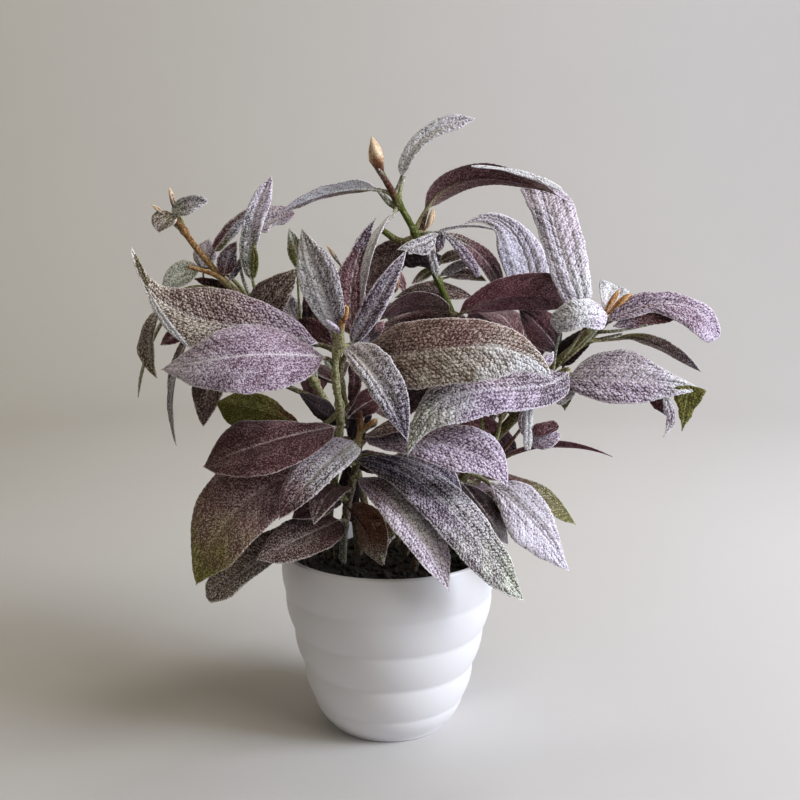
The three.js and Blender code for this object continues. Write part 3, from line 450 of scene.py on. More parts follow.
# Tints that a surface wanders between, lowest first; the floor's go from left to right and hold painted
# shade, warmer and darker to the left, away from the window light.
POT_TINTS = (0.78, 0.76, 0.77, 1), (0.82, 0.81, 0.83, 1)
SOIL_TINTS = (0.004, 0.003, 0.002, 1), (0.03, 0.022, 0.015, 1)
FLOOR_TINTS = (0.51, 0.485, 0.43, 1), (0.67, 0.66, 0.68, 1)
CLOUD_TINTS = (0.94, 0.94, 0.94, 1), (1, 1, 1, 1)
BLACK = (0, 0, 0, 1)
BUD_LOOKS = {"centre": "rust peach peach", "right": "honey ochre ochre"}
PLAIN_BUD = "rust tan peach"

# ---- numbers and noise
def linear(colour):
    share = np.asarray(colour, float) / 255
    return np.where(share <= 0.04045, share / 12.92, ((share + 0.055) / 1.055) ** 2.4)


def ramp(low, high, x):
    """0 below low and 1 above high, smooth between; it falls instead where low is the larger."""
    share = np.clip((x - low) / (high - low), 0, 1)
    return share * share * (3 - 2 * share)


def unit(vectors):
    return vectors / np.linalg.norm(vectors, axis=-1, keepdims=True)


def full_turn(sides):
    return np.linspace(0, 2 * math.pi, sides, endpoint=False)


def scattered(*cells, seed):
    """A repeatable number from 0 to 1 for each whole-number cell."""
    mixed = np.full(cells[0].shape, 7919 * seed + 104729, np.uint32)
    for cell in cells:
        mixed = (mixed ^ cell.astype(np.int64).astype(np.uint32)) * np.uint32(2654435761)
        mixed = mixed ^ (mixed >> np.uint32(15))
    return mixed / 2**32


def lumps(x, y, size, seed):
    """Smooth noise from -1 to 1 whose lumps are about size across."""
    cell_x, cell_y = np.floor(x / size), np.floor(y / size)
    part_x, part_y = ramp(0, 1, x / size - cell_x), ramp(0, 1, y / size - cell_y)
    rows = []
    for up in (0, 1):
        near = scattered(cell_x, cell_y + up, seed=seed)
        far = scattered(cell_x + 1, cell_y + up, seed=seed)
        rows.append(near + (far - near) * part_x)
    return 2 * (rows[0] + (rows[1] - rows[0]) * part_y) - 1


def pebbles(x, y, size, seed):
    """1 on the round top of each cell of a net, and 0 in the grooves between the cells."""
    cell_x, cell_y = np.floor(x / size), np.floor(y / size)
    nearest = np.full(x.shape, 9.0)
    second = np.full(x.shape, 9.0)
    for right in (-1, 0, 1):
        for up in (-1, 0, 1):
            there_x, there_y = cell_x + right, cell_y + up
            middle_x = there_x + 0.2 + 0.6 * scattered(there_x, there_y, seed=seed)
            middle_y = there_y + 0.2 + 0.6 * scattered(there_x, there_y, seed=seed + 1)
            reach = np.hypot(middle_x - x / size, middle_y - y / size)
            second = np.minimum(second, np.maximum(nearest, reach))
            nearest = np.minimum(nearest, reach)
    return ramp(0, 0.4, second - nearest) * (1 - 0.5 * np.minimum(nearest, 0.8) ** 2)


def looks_along(names, share):
    """Skin colour, down colour and amount of down at each share of the way along one or three looks."""
    looks = [LOOKS[name] for name in names.split()]
    looks = looks * 3 if len(looks) == 1 else looks
    first, last = ramp(0.55, 0.05, share)[..., None], ramp(0.5, 1.0, share)[..., None]
    mixed = []
    for part in range(3):
        ends = [np.atleast_1d(look[2] if part == 2 else linear(look[part])) for look in looks]
        mixed.append(ends[1] + (ends[0] - ends[1]) * first + (ends[2] - ends[1]) * last)
    return mixed[0], mixed[1], mixed[2][..., 0]


def looks_of_face(names, share, side):
    """The looks of a leaf's face, whose two halves may differ."""
    left, _, right = names.partition("/")
    part = ramp(-0.12, 0.12, side)
    pairs = zip(looks_along(left, share), looks_along(right or left, share))
    return [a + (b - a) * (part[..., None] if a.ndim > part.ndim else part) for a, b in pairs]


# ---- curves
CURVE_STEPS, SHORT_STEPS = 24, 12  # from point to point of a stem, and of a twig or a bud
PETIOLE_POINTS = 14


class Line:
    """A smooth line held as close points, read at a share of its length."""

    def __init__(self, points):
        self.points = np.asarray(points, float)
        steps = np.linalg.norm(np.diff(self.points, axis=0), axis=1)
        self.reach = np.concatenate([[0], np.cumsum(steps)])
        self.length = self.reach[-1]

    def at(self, share):
        reach = np.asarray(share) * self.length
        return np.stack([np.interp(reach, self.reach, self.points[:, k]) for k in range(3)], axis=-1)


def cubic_curve(start, end, leave, arrive, share):
    """The curve from start to end that leaves and arrives with the given slopes."""
    cubic = 2 * start - 2 * end + leave + arrive
    square = -3 * start + 3 * end - 2 * leave - arrive
    return start + leave * share + square * share**2 + cubic * share**3


def with_ends(values):
    """The values with one more at each end, straight on."""
    return np.concatenate([[2 * values[0] - values[1]], values, [2 * values[-1] - values[-2]]])


def through(points, steps):
    """The smooth line through the points, the centripetal Catmull-Rom curve of the part."""
    ends = with_ends(np.asarray(points, float))
    share = np.linspace(0, 1, steps, endpoint=False)[:, None]
    parts = []
    for before, start, end, after in zip(ends, ends[1:], ends[2:], ends[3:]):
        gaps = (start - before, end - start, after - end)
        near, own, far = [np.sqrt(np.linalg.norm(gap)) for gap in gaps]
        leave = (start - before) / near - (end - before) / (near + own) + (end - start) / own
        arrive = (end - start) / own - (after - start) / (own + far) + (after - end) / far
        parts.append(cubic_curve(start, end, leave * own, arrive * own, share))
    return Line(np.vstack([*parts, ends[-2:-1]]))


def between(values, share):
    """A smooth line through values that stand evenly spaced, read at shares of the way along it."""
    values = np.asarray(values, float)
    if len(values) == 1:
        return np.full(share.shape, values[0])
    ends = with_ends(values)
    place = np.clip(share, 0, 1) * (len(values) - 1)
    first = np.minimum(place.astype(int), len(values) - 2)
    before, start, end, after = (ends[first + k] for k in range(4))
    return cubic_curve(start, end, (end - before) / 2, (after - start) / 2, place - first)


def midrib_points(points, share):
    """Points of the one smooth curve through three or four points, at shares from base to tip."""
    points = np.asarray(points, float)
    knots = np.concatenate([[0], np.cumsum(np.linalg.norm(np.diff(points, axis=0), axis=1))])
    knots = knots / knots[-1]
    curve = np.zeros((len(share), 3))
    for i, point in enumerate(points):
        weight = np.ones(len(share))
        for knot in np.delete(knots, i):
            weight = weight * (share - knot) / (knots[i] - knot)
        curve += weight[:, None] * point
    return curve


def petiole_points(start, base, leave):
    """The bend from the stem's middle to the blade's base, meeting the midrib smoothly."""
    handle = base - leave * np.linalg.norm(base - start) / 2
    share = np.linspace(0, 1, PETIOLE_POINTS)[:, None]
    return start * (1 - share) ** 2 + 2 * handle * share * (1 - share) + base * share**2


def grown_midrib(start, heading, rise, bend, length):
    """The midrib of a leaf that grows by rule, starting a petiole's length away from the stem."""
    turn = math.radians(heading)

    def step(angle, reach):
        tilt = math.radians(angle)
        flat = math.cos(tilt)
        return reach * np.array([math.cos(turn) * flat, math.sin(turn) * flat, math.sin(tilt)])

    base = start + step(rise, GROWN_PETIOLE)
    middle = base + step(rise, length / 2)
    return [base, middle, middle + step(rise - bend, length / 2)]


# ---- meshes
def add_object(name, data):
    thing = bpy.data.objects.new(name, data)
    bpy.context.scene.collection.objects.link(thing)
    return thing


class Surfaces:
    """Closed surfaces in millimetres, gathered with their looks into one mesh."""

    def __init__(self):
        self.points, self.faces, self.looks = [], [], []
        self.count = 0

    def add(self, points, faces, skin=0, down=0, amount=0):
        looks = np.empty((len(points), 7))
        looks[:, :3], looks[:, 3:6], looks[:, 6] = skin, down, amount
        self.points.append(points)
        self.faces += [face + self.count for face in faces]
        self.looks.append(looks)
        self.count += len(points)

    def build(self, name, material, slot, nodes):
        mesh = bpy.data.meshes.new(name)
        mesh.vertices.add(self.count)
        mesh.vertices.foreach_set("co", (np.vstack(self.points) * MM).astype(np.float32).ravel())
        corners = np.concatenate([face.ravel() for face in self.faces])
        sizes = np.concatenate([np.full(len(face), face.shape[1]) for face in self.faces])
        starts = np.concatenate([[0], np.cumsum(sizes)[:-1]])
        mesh.loops.add(len(corners))
        mesh.loops.foreach_set("vertex_index", corners.astype(np.int32))
        mesh.polygons.add(len(sizes))
        mesh.polygons.foreach_set("loop_start", starts.astype(np.int32))
        mesh.polygons.foreach_set("use_smooth", np.ones(len(sizes), bool))
        mesh.update(calc_edges=True)
        looks = np.vstack(self.looks)
        opaque = np.ones((self.count, 1))
        for layer, kind, field, values in (
            ("skin", "FLOAT_COLOR", "color", np.hstack([looks[:, :3], opaque])),
            ("down", "FLOAT_COLOR", "color", np.hstack([looks[:, 3:6], opaque])),
            ("amount", "FLOAT", "value", looks[:, 6]),
        ):
            attribute = mesh.attributes.new(layer, kind, "POINT")
            attribute.data.foreach_set(field, values.astype(np.float32).ravel())
        mesh.materials.append(material)
        piece = add_object(name, mesh)
        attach(piece, "root")
        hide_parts(*nodes)


def grid_faces(rows, columns):
    """The faces of a closed sheet: a grid of points above, and the same grid below it."""
    upper = np.arange(rows * columns).reshape(rows, columns)
    lower = upper + rows * columns
    quads = [
        (upper[:-1, :-1], upper[:-1, 1:], upper[1:, 1:], upper[1:, :-1]),
        (lower[:-1, :-1], lower[1:, :-1], lower[1:, 1:], lower[:-1, 1:]),
        (upper[:-1, 0], upper[1:, 0], lower[1:, 0], lower[:-1, 0]),
        (lower[:-1, -1], lower[1:, -1], upper[1:, -1], upper[:-1, -1]),
        (lower[0, :-1], lower[0, 1:], upper[0, 1:], upper[0, :-1]),
        (upper[-1, :-1], upper[-1, 1:], lower[-1, 1:], lower[-1, :-1]),
    ]
    return [np.stack([corner.ravel() for corner in quad], axis=1) for quad in quads]


def ring_faces(rings, sides):
    """The faces of a bar of rings, and of the two points that close its ends."""
    number = np.arange(rings * sides).reshape(rings, sides)
    onward = np.roll(number, -1, axis=1)
    walls = np.stack([number[:-1], onward[:-1], onward[1:], number[1:]], axis=-1).reshape(-1, 4)
    start, end = np.full(sides, rings * sides), np.full(sides, rings * sides + 1)
    foot = np.stack([start, onward[0], number[0]], axis=1)
    head = np.stack([end, number[-1], onward[-1]], axis=1)
    return [walls, foot, head]


def bar(points, radii, sides, shape=1):
    """A round bar along close points; shape changes the radius around it, by ring and by side."""
    along = unit(np.gradient(points, axis=0))
    right = np.cross(along[0], (0.3, 0.2, 0.93))
    frames = []
    for direction in along:
        right = right - direction * right.dot(direction)
        right = right / np.linalg.norm(right)
        frames.append((right, np.cross(direction, right)))
    rights, ups = np.array(frames).transpose(1, 0, 2)[:, :, None, :]
    angle = full_turn(sides)[None, :, None]
    reach = (radii[:, None] * shape)[..., None] * np.ones((1, sides, 1))
    rings = points[:, None, :] + reach * (np.cos(angle) * rights + np.sin(angle) * ups)
    ends = [points[0] - along[0] * radii[0] * 0.5, points[-1] + along[-1] * radii[-1] * 0.5]
    return np.vstack([rings.reshape(-1, 3), ends]), ring_faces(len(points), sides)


def add_bar(surfaces, points, radii, sides, looks, share, shape=1, streaks=0):
    """A bar with looks along it; streaks change how much down there is, by ring and by side."""
    skin, down, amount = looks_along(looks, share)
    amount = (amount[:, None] + streaks + np.zeros(sides)).ravel()
    skin, down = np.repeat(skin, sides, axis=0), np.repeat(down, sides, axis=0)
    skin, down, amount = (np.concatenate([part, part[:1], part[-1:]]) for part in (skin, down, amount))
    surfaces.add(*bar(points, radii, sides, shape), skin, down, amount)


# ---- leaves
FINE_STEP, STEP, COARSE_STEP = 0.5, 0.6, 0.8  # between neighbouring points of a blade
PEBBLED = 0.5  # pebbling from which a blade is made in fine steps
PEBBLE_SIZE, VEIN_GAP, VEIN_WIDTH, MIDRIB_WIDTH = 1.9, 6.5, 0.55, 0.45
TOOTH, SCALLOP, SWELL = 2.7, 5, 9  # lengths of the teeth and waves of the margin and the blade
RIB_SIDES, RIB_PLACES, RIB_RADII = 8, [0, 0.12, 0.3, 1], [1.4, 1.1, 0.65, 0.16]
FOLD_PLEATS, FOLD_PEBBLING, FOLD_PALENESS = 0.2, 0.4, 0.3
PLAIN_SHAPE = (0.3, None, None, (0,))  # pleats, half widths left and right, turns
RIB_LOOK = {"rust": "rust", "dark": "brown", "maroon": "olive", "slate": "mint", "mint": "mint"}


def blade_frame(points, face, fold, width, phase, seed, grid_step, *shape):
    """The middle sheet of a blade, with where each point lies on it."""
    pleats, left, right, turns = (*shape, *PLAIN_SHAPE[len(shape):])
    length = Line(midrib_points(points, np.linspace(0, 1, 60))).length
    rows = max(14, round(length / grid_step))
    columns = 2 * max(5, round(width / grid_step / 2))
    share = np.linspace(0, 1, rows + 1)
    side = np.linspace(-1, 1, columns + 1)[None, :]
    spine = midrib_points(points, share)
    along = unit(np.gradient(spine, axis=0))
    across = unit(np.cross(along, np.array(face, float)))
    up = np.cross(across, along)
    turn = np.radians(between(turns, share))[:, None]
    across, up = np.cos(turn) * across + np.sin(turn) * up, np.cos(turn) * up - np.sin(turn) * across

    outline = width / 2 * np.sin(np.pi * share**BASEWARD) ** FULLNESS
    narrowest = np.where(share < 0.5, 0.5, 0.22)
    rounded = ramp(0, 0.09, share) ** 0.5 * ramp(1, 0.97, share) ** 0.5
    teeth = 0.12 * np.sin(2 * np.pi * share * length / TOOTH + phase) * ramp(1, 5, outline)
    teeth = teeth + 0.45 * lumps(share * length, 0 * share + seed, SCALLOP, seed + 8) * ramp(1, 6, outline)
    left = outline if left is None else between(left, share)
    right = left if right is None else between(right, share)
    left = (np.maximum(left * rounded, narrowest) + teeth)[:, None]
    right = (np.maximum(right * rounded, narrowest) + teeth[::-1] * rounded)[:, None]
    half = np.where(side < 0, left, right)
    reach = share[:, None] * length + 0 * side
    out = side * half

    centre = np.sqrt(side**2 + 0.01) - 0.1
    wave = WAVE * side**2 * np.sin(phase + 2 * np.pi * share[:, None] + np.tanh(6 * side))
    puffed = 0.035 * np.sin(np.pi * np.abs(side)) - 0.05 * side**6
    rise = half * (centre * math.sin(fold) + wave + puffed)
    rise = rise + 0.5 * lumps(reach, out, SWELL, seed + 5) * ramp(0.1, 0.8, np.abs(side)) * ramp(1, 5, half)
    ridges = np.sin(3.5 * np.pi * side + 2 * lumps(reach * 0.3, out, 6, seed + 6))
    ridges = ridges * ramp(0, 0.2, np.abs(side))
    pleat = 0.5 * pleats * ridges * ramp(0, 0.15, share[:, None]) * ramp(1, 5, half)
    rise = rise + pleat
    flat = out * math.cos(fold)
    sheet = spine[:, None, :] + flat[..., None] * across[:, None, :] + rise[..., None] * up[:, None, :]
    return SimpleNamespace(sheet=sheet, share=share[:, None] + 0 * side, side=side + 0 * reach, reach=reach,
                           out=out, half=half + 0 * reach, pleat=pleat, spine=spine, up=up)


def vein_nearness(leaf, seed):
    """How near each point is to a side vein, from 0 to 1, and how far the blade puffs up there."""
    bend = leaf.reach - 1.25 * np.abs(leaf.out) + 1.8 * lumps(leaf.reach, leaf.out, 9, seed)
    count = bend / VEIN_GAP + 0.4 * (leaf.side > 0)
    off = np.abs(count - np.round(count)) * VEIN_GAP
    vein = np.exp(-((off / VEIN_WIDTH) ** 2))
    fading = ramp(1.0, 0.75, np.abs(leaf.side)) * ramp(0.3, 2.0, leaf.half)
    return vein * fading, (0.5 - 0.5 * np.cos(2 * np.pi * count) - 0.5) * fading


def add_blade(surfaces, leaf, finish, seed):
    top_looks, under_looks, pebbling, paleness = (*finish, 1)[:4]
    reach, out, side, half = leaf.reach, leaf.out, leaf.side, leaf.half
    normal = unit(np.cross(np.gradient(leaf.sheet, axis=1), np.gradient(leaf.sheet, axis=0)))
    pebble = pebbles(reach - 0.9 * np.abs(out), out * 1.1, PEBBLE_SIZE, seed)
    veins, puffed = vein_nearness(leaf, seed)
    midrib = np.exp(-((out / MIDRIB_WIDTH) ** 2)) * ramp(0.97, 0.6, leaf.share)
    inner = ramp(0, 1.6, (1 - np.abs(side)) * half)
    thickness = 0.14 + 0.16 * inner
    relief = (0.5 * pebbling + 0.1) * (pebble - 0.5) - 0.2 * veins - 0.25 * midrib
    sheet = leaf.sheet + (0.3 * pebbling * puffed * ramp(1, 8, half))[..., None] * normal
    above = sheet + (thickness + relief * inner)[..., None] * normal
    below = sheet - (thickness + (0.22 * veins + 0.08 * (0.5 - pebble)) * inner)[..., None] * normal

    margin = ramp(0.75, 0.1, (1 - np.abs(side)) * half)
    blotch = lumps(reach, out, 6, seed + 2)
    speck = lumps(reach, out, 1.3, seed + 3)
    place = leaf.share + 0.1 * blotch
    skin, down, amount = looks_of_face(top_looks, place, side + 0.1 * blotch)
    skin = skin * (1 + 0.22 * lumps(reach, out, 4, seed + 4))[..., None]
    # Less down in the grooves between pebbles, along the side veins and in the troughs of pleats, and more on
    # their tops: partly the skin showing through, partly painted shade in the hollows and painted light on
    # the tops.
    amount = amount + (0.3 + 1.1 * pebbling) * (pebble - 0.55) - 0.2 * veins + 0.2 * blotch + 0.1 * speck
    amount = amount + 0.5 * leaf.pleat
    pale = np.clip(paleness * (0.9 * margin + 0.8 * midrib), 0, 1)
    amount = amount + (1.0 - amount) * pale
    down = down + (linear(PALE_DOWN) - down) * (0.7 * pale)[..., None]

    under_skin, under_down, under_amount = looks_of_face(under_looks, place, side)
    under_amount = under_amount + 0.25 * veins + 0.15 * blotch
    under_amount = under_amount + (0.6 - under_amount) * 0.8 * paleness * margin
    pairs = ((above, below), (skin, under_skin), (down, under_down))
    points, skin, down = (np.concatenate([a.reshape(-1, 3), b.reshape(-1, 3)]) for a, b in pairs)
    amount = np.concatenate([amount.ravel(), under_amount.ravel()])
    surfaces.add(points, grid_faces(*side.shape), skin, down, amount)


def add_rib(surfaces, start, leaf, looks):
    """The petiole, which runs on under the blade as its raised midrib."""
    spine, up = leaf.spine, leaf.up
    petiole = petiole_points(start, spine[0], unit(spine[1] - spine[0]))[:-1]
    keep = slice(2, int(len(spine) * 0.9), 2)
    share = np.linspace(0, 1, len(petiole) + len(spine[keep]))
    radii = np.interp(share, RIB_PLACES, RIB_RADII)
    sunk = petiole - 0.5 * up[0] * np.linspace(0, 1, len(petiole))[:, None] ** 3
    under = spine[keep] - (0.1 + radii[len(petiole):, None]) * up[keep]
    add_bar(surfaces, np.vstack([sunk, under]), radii, RIB_SIDES, looks, share)


def add_leaf(surfaces, line, at, width, fold, face, points, finish, seed, grid_step, *shape):
    phase = at * 40  # the waves of neighbouring leaves differ
    leaf = blade_frame(points, face, math.radians(fold), width, phase, seed, grid_step, *shape)
    add_blade(surfaces, leaf, finish, seed)
    under = (finish[1].split() * 2)[1]  # the middle look of the underside, or its only one
    add_rib(surfaces, line.at(at), leaf, f"{RIB_LOOK.get(under, 'petiole')} {under} {under}")


def add_fold(surfaces, looks, face, halves, points, seed):
    """A fold of a blade, with the same looks on both sides."""
    width = 2 * max(max(half) for half in halves)
    leaf = blade_frame(points, face, 0, width, seed, seed, STEP, FOLD_PLEATS, *halves)
    add_blade(surfaces, leaf, (looks, looks, FOLD_PEBBLING, FOLD_PALENESS), seed)


# ---- stems and buds
STEM_SIDES, STEM_STEP, JOINT_HEIGHT, JOINT_WIDTH = 14, 1.1, 0.35, 1.6
TWIG_SIDES, TWIG_RINGS, TWIG_TAPER = 10, 30, [1.1, 0.9, 0.75]
BUD_SIDES, BUD_RINGS = 24, 40
BUD_PLACES = [0, 0.12, 0.35, 0.6, 0.8, 0.93, 1]
FAT_BUD = [0.5, 0.6, 1, 0.85, 0.5, 0.22, 0.05]  # radius at those places, fat below the middle
SLIM_BUD = [0.45, 0.4, 0.45, 0.95, 0.9, 0.5, 0.05]
FAT_FROM = 3  # radius from which a bud is a fat one


def add_stem(surfaces, line, joints, looks, seed):
    """A woody stem with a slight ridge where each leaf leaves it."""
    share = np.linspace(0, 1, round(line.length / STEM_STEP))
    radii = np.interp(share, [0, 1], STEM_RADIUS)
    for joint in joints:
        radii = radii + JOINT_HEIGHT * np.exp(-(((share - joint) * line.length / JOINT_WIDTH) ** 2))
    angle = full_turn(STEM_SIDES)
    reach = share[:, None] * line.length
    rough = 1 + 0.06 * lumps(reach + 0 * angle, angle * 3 + 0 * reach, 1.7, seed)
    rough = rough + 0.05 * np.cos(4 * angle + reach * 0.02)
    streaks = 0.16 * lumps(reach + 0 * angle, angle * 4 + 0 * reach, 3, seed + 1)
    add_bar(surfaces, line.at(share), radii, STEM_SIDES, looks, share, rough, streaks)


def add_twig(surfaces, radius, looks, points):
    share = np.linspace(0, 1, TWIG_RINGS)
    radii = radius * np.interp(share, [0, 0.5, 1], TWIG_TAPER)
    add_bar(surfaces, through(points, SHORT_STEPS).at(share), radii, TWIG_SIDES, looks, share)


def add_bud(surfaces, radius, looks, points):
    """A closed bud of pointed scales pressed together."""
    share = np.linspace(0, 1, BUD_RINGS)
    radii = radius * np.interp(share, BUD_PLACES, FAT_BUD if radius > FAT_FROM else SLIM_BUD)
    scales = np.abs(np.cos(1.5 * (full_turn(BUD_SIDES) + 2.2 * share[:, None])))
    line = through(points, SHORT_STEPS)
    shape, streaks = 0.88 + 0.2 * scales, 0.8 * (scales - 0.6)
    add_bar(surfaces, line.at(share), radii, BUD_SIDES, looks, share, shape, streaks)


# ---- materials
def set_inputs(tree, node, inputs):
    """Sets each input of a node to a value, or links it to a socket."""
    for name, value in inputs.items():
        socket = node.inputs[name]
        if isinstance(value, bpy.types.NodeSocket):
            tree.links.new(value, socket)
        else:
            socket.default_value = value


def add_node(tree, kind, inputs, output, **settings):
    """A node with its settings and inputs; returns the output that is asked for."""
    node = tree.nodes.new("ShaderNode" + kind)
    for setting, value in settings.items():
        setattr(node, setting, value)
    set_inputs(tree, node, inputs)
    return node.outputs[output]


def noise(tree, scale, detail=3.0, roughness=0.6):
    place = add_node(tree, "TexCoord", {}, "Object")
    inputs = {"Vector": place, "Scale": scale, "Detail": detail, "Roughness": roughness}
    return add_node(tree, "TexNoise", inputs, "Fac")


def maths(tree, operation, first, second, clamp=False):
    return add_node(tree, "Math", {0: first, 1: second}, 0, operation=operation, use_clamp=clamp)


def mixed_colour(tree, part, first, second, **settings):
    inputs = {0: part, 6: first, 7: second}  # the sockets of the node for colours
    return add_node(tree, "Mix", inputs, 2, data_type="RGBA", **settings)


def bump(tree, height, strength, distance):
    inputs = {"Height": height, "Strength": strength, "Distance": distance * MM}
    return add_node(tree, "Bump", inputs, "Normal")


def place_along(tree, axis):
    return add_node(tree, "SeparateXYZ", {0: add_node(tree, "TexCoord", {}, "Object")}, axis)


def new_material(name):
    material = bpy.data.materials.new(name)
    material.use_nodes = True
    tree = material.node_tree
    return material, tree, tree.nodes["Principled BSDF"]


def downy_skin(name, grain_size, contrast):
    """A dark skin under pale down, which stands in grains: the mesh says how much down there is."""
    material, tree, shader = new_material(name)
    skin = add_node(tree, "Attribute", {}, "Color", attribute_name="skin")
    down = add_node(tree, "Attribute", {}, "Color", attribute_name="down")
    amount = add_node(tree, "Attribute", {}, "Fac", attribute_name="amount")
    grain = noise(tree, 1 / (grain_size * MM), detail=2.0, roughness=0.7)
    spread = maths(tree, "MULTIPLY", maths(tree, "SUBTRACT", grain, 0.5), contrast)
    cover = maths(tree, "ADD", spread, amount, clamp=True)
    set_inputs(tree, shader, {
        "Base Color": mixed_colour(tree, cover, skin, down), "Roughness": 0.82, "Specular IOR Level": 0.25,
        "Sheen Weight": 0.2, "Sheen Roughness": 0.45, "Normal": bump(tree, grain, 0.8, 0.4),
    })
    return material


def pot_plastic():
    material, tree, shader = new_material("white_satin_plastic")
    colour = mixed_colour(tree, noise(tree, 18, detail=2.0), *POT_TINTS)
    rough = add_node(tree, "MapRange", {"Value": noise(tree, 90), "To Min": 0.34, "To Max": 0.5}, 0)
    normal = bump(tree, noise(tree, 900, detail=2.0), 0.12, 0.1)
    set_inputs(tree, shader, {"Base Color": colour, "Roughness": rough, "Normal": normal})
    return material


def dark_soil():
    material, tree, shader = new_material("dark_soil")
    grain = noise(tree, 420, detail=6.0, roughness=0.7)
    colour, normal = mixed_colour(tree, grain, *SOIL_TINTS), bump(tree, grain, 0.8, 0.6)
    set_inputs(tree, shader, {"Base Color": colour, "Roughness": 0.95, "Normal": normal})
    return material


def pale_floor():
    """A floor with painted shade: warmer and darker to the left, away from the window light, and darker
    towards the camera.
    """
    material, tree, shader = new_material("pale_floor")
    across = {"Value": place_along(tree, "X"), "From Min": -0.9, "From Max": 0.6}
    away = {"Value": place_along(tree, "Y"), "From Min": -0.45, "From Max": -0.1}
    tone = mixed_colour(tree, add_node(tree, "MapRange", across, 0), *FLOOR_TINTS)
    # painted shade: the floor is darker towards the camera
    shaded = mixed_colour(tree, 0.42, tone, BLACK)
    tone = mixed_colour(tree, add_node(tree, "MapRange", away, 0), shaded, tone)
    cloud = mixed_colour(tree, noise(tree, 3, detail=4.0), *CLOUD_TINTS)
    colour = mixed_colour(tree, 1, tone, cloud, blend_type="MULTIPLY")
    set_inputs(tree, shader, {"Base Color": colour, "Roughness": 0.9})
    return material


# ---- pot and soil
POT_SIDES, SOIL_SIDES = 144, 160
POT_LEVELS = [(POT["foot_radius"], POT["edge"]), *GROOVES, (POT["rim_radius"], POT["height"] - POT["edge"])]
SOIL_LUMPS = [(1.1, 7, 401), (0.6, 2.6, 402)]  # height, size and seed
CRUMBS, CRUMB_SIDES, CRUMB_RADII, CRUMB_GAP = 420, 7, (0.5, 1.6), 2  # the gap is to the soil's edge


def turned(surfaces, profile, sides, relief=None):
    """A closed solid of revolution from a profile that starts and ends on the axis."""
    profile = np.asarray(profile, float)
    angle = full_turn(sides)
    radius, height = profile[1:-1, 0][:, None], profile[1:-1, 1][:, None]
    rings = np.stack([radius * np.cos(angle), radius * np.sin(angle), height + 0 * angle], axis=-1)
    if relief is not None:
        rings[..., 2] += relief(rings)
    ends = [(0, 0, profile[0, 1]), (0, 0, profile[-1, 1])]
    surfaces.add(np.vstack([rings.reshape(-1, 3), ends]), ring_faces(len(profile) - 2, sides))


def arc(radius, height, across, tall, angles):
    """Points of a round stretch of a profile, about its middle."""
    angles = np.radians(angles)
    return list(zip(radius + across * np.cos(angles), height + tall * np.sin(angles)))


def pot_profile():
    """From the foot's middle up the banded outside, over the lip and down the inside."""
    wall, edge, floor = POT["wall"], POT["edge"], POT["floor"]
    outside = [(0, 0), *arc(POT["foot_radius"] - edge, edge, edge, edge, np.linspace(-90, 0, 7))]
    for (low_radius, low), (high_radius, high) in zip(POT_LEVELS, POT_LEVELS[1:]):
        share = np.linspace(0, 1, 15)[1:]
        bulge = POT["bulge"] * np.sin(np.pi * share) ** 0.8
        radius = low_radius + (high_radius - low_radius) * share + bulge
        outside += list(zip(radius, low + (high - low) * share))
    lip_height = POT["height"] - edge
    outside += arc(POT["rim_radius"] - wall / 2, lip_height, wall / 2, edge, np.linspace(15, 180, 12))
    inside = [(radius - wall, height) for radius, height in reversed(POT_LEVELS[1:-1])]
    return [*outside, *inside, (POT["foot_radius"] - wall, floor), (0, floor)]


def build_pot(material):
    surfaces = Surfaces()
    turned(surfaces, pot_profile(), POT_SIDES)
    surfaces.build("pot_shell", material, "pot", ["pot"])


def soil_relief(rings):
    lumpy = sum(high * lumps(rings[..., 0], rings[..., 1], size, seed) for high, size, seed in SOIL_LUMPS)
    return np.where(rings[..., 2] >= SOIL["top"] - 0.01, lumpy, 0)


def build_soil(material, draws):
    """The block of soil, lumpy on top, with loose crumbs lying on it."""
    surfaces = Surfaces()
    gap, crest = SOIL["gap"], SOIL["top"] + SOIL["crown"]
    foot = (POT["foot_radius"] - POT["wall"] - gap, POT["floor"] + gap)
    walls = [(radius - POT["wall"] - gap, height) for radius, height in POT_LEVELS[1:-1]]
    edge = POT["rim_radius"] - POT["wall"] - gap - SOIL["inset"]
    top = [(radius, SOIL["top"] + SOIL["crown"] * (1 - radius / edge)) for radius in np.linspace(edge, 1, 40)]
    turned(surfaces, [(0, foot[1]), foot, *walls, *top, (0, crest)], SOIL_SIDES, soil_relief)
    steps = np.linspace(-0.9, 0.9, 5)
    for _ in range(CRUMBS):
        reach, turn = (edge - CRUMB_GAP) * math.sqrt(draws.random()), draws.uniform(0, 2 * math.pi)
        middle = np.array([reach * math.cos(turn), reach * math.sin(turn), crest])
        middle[2] += draws.uniform(-0.6, 0.8)
        size = draws.uniform(*CRUMB_RADII)
        tilt = unit(draws.normal(size=3))
        rough = draws.uniform(0.75, 1.25, (len(steps), CRUMB_SIDES))
        line = middle + steps[:, None] * size * tilt
        surfaces.add(*bar(line, size * np.sqrt(1 - steps**2), CRUMB_SIDES, rough))
    surfaces.build("soil_fill", material, "soil", ["soil"])


# ---- the object
FIRST_SEED, SEED_STEP = 11, 7


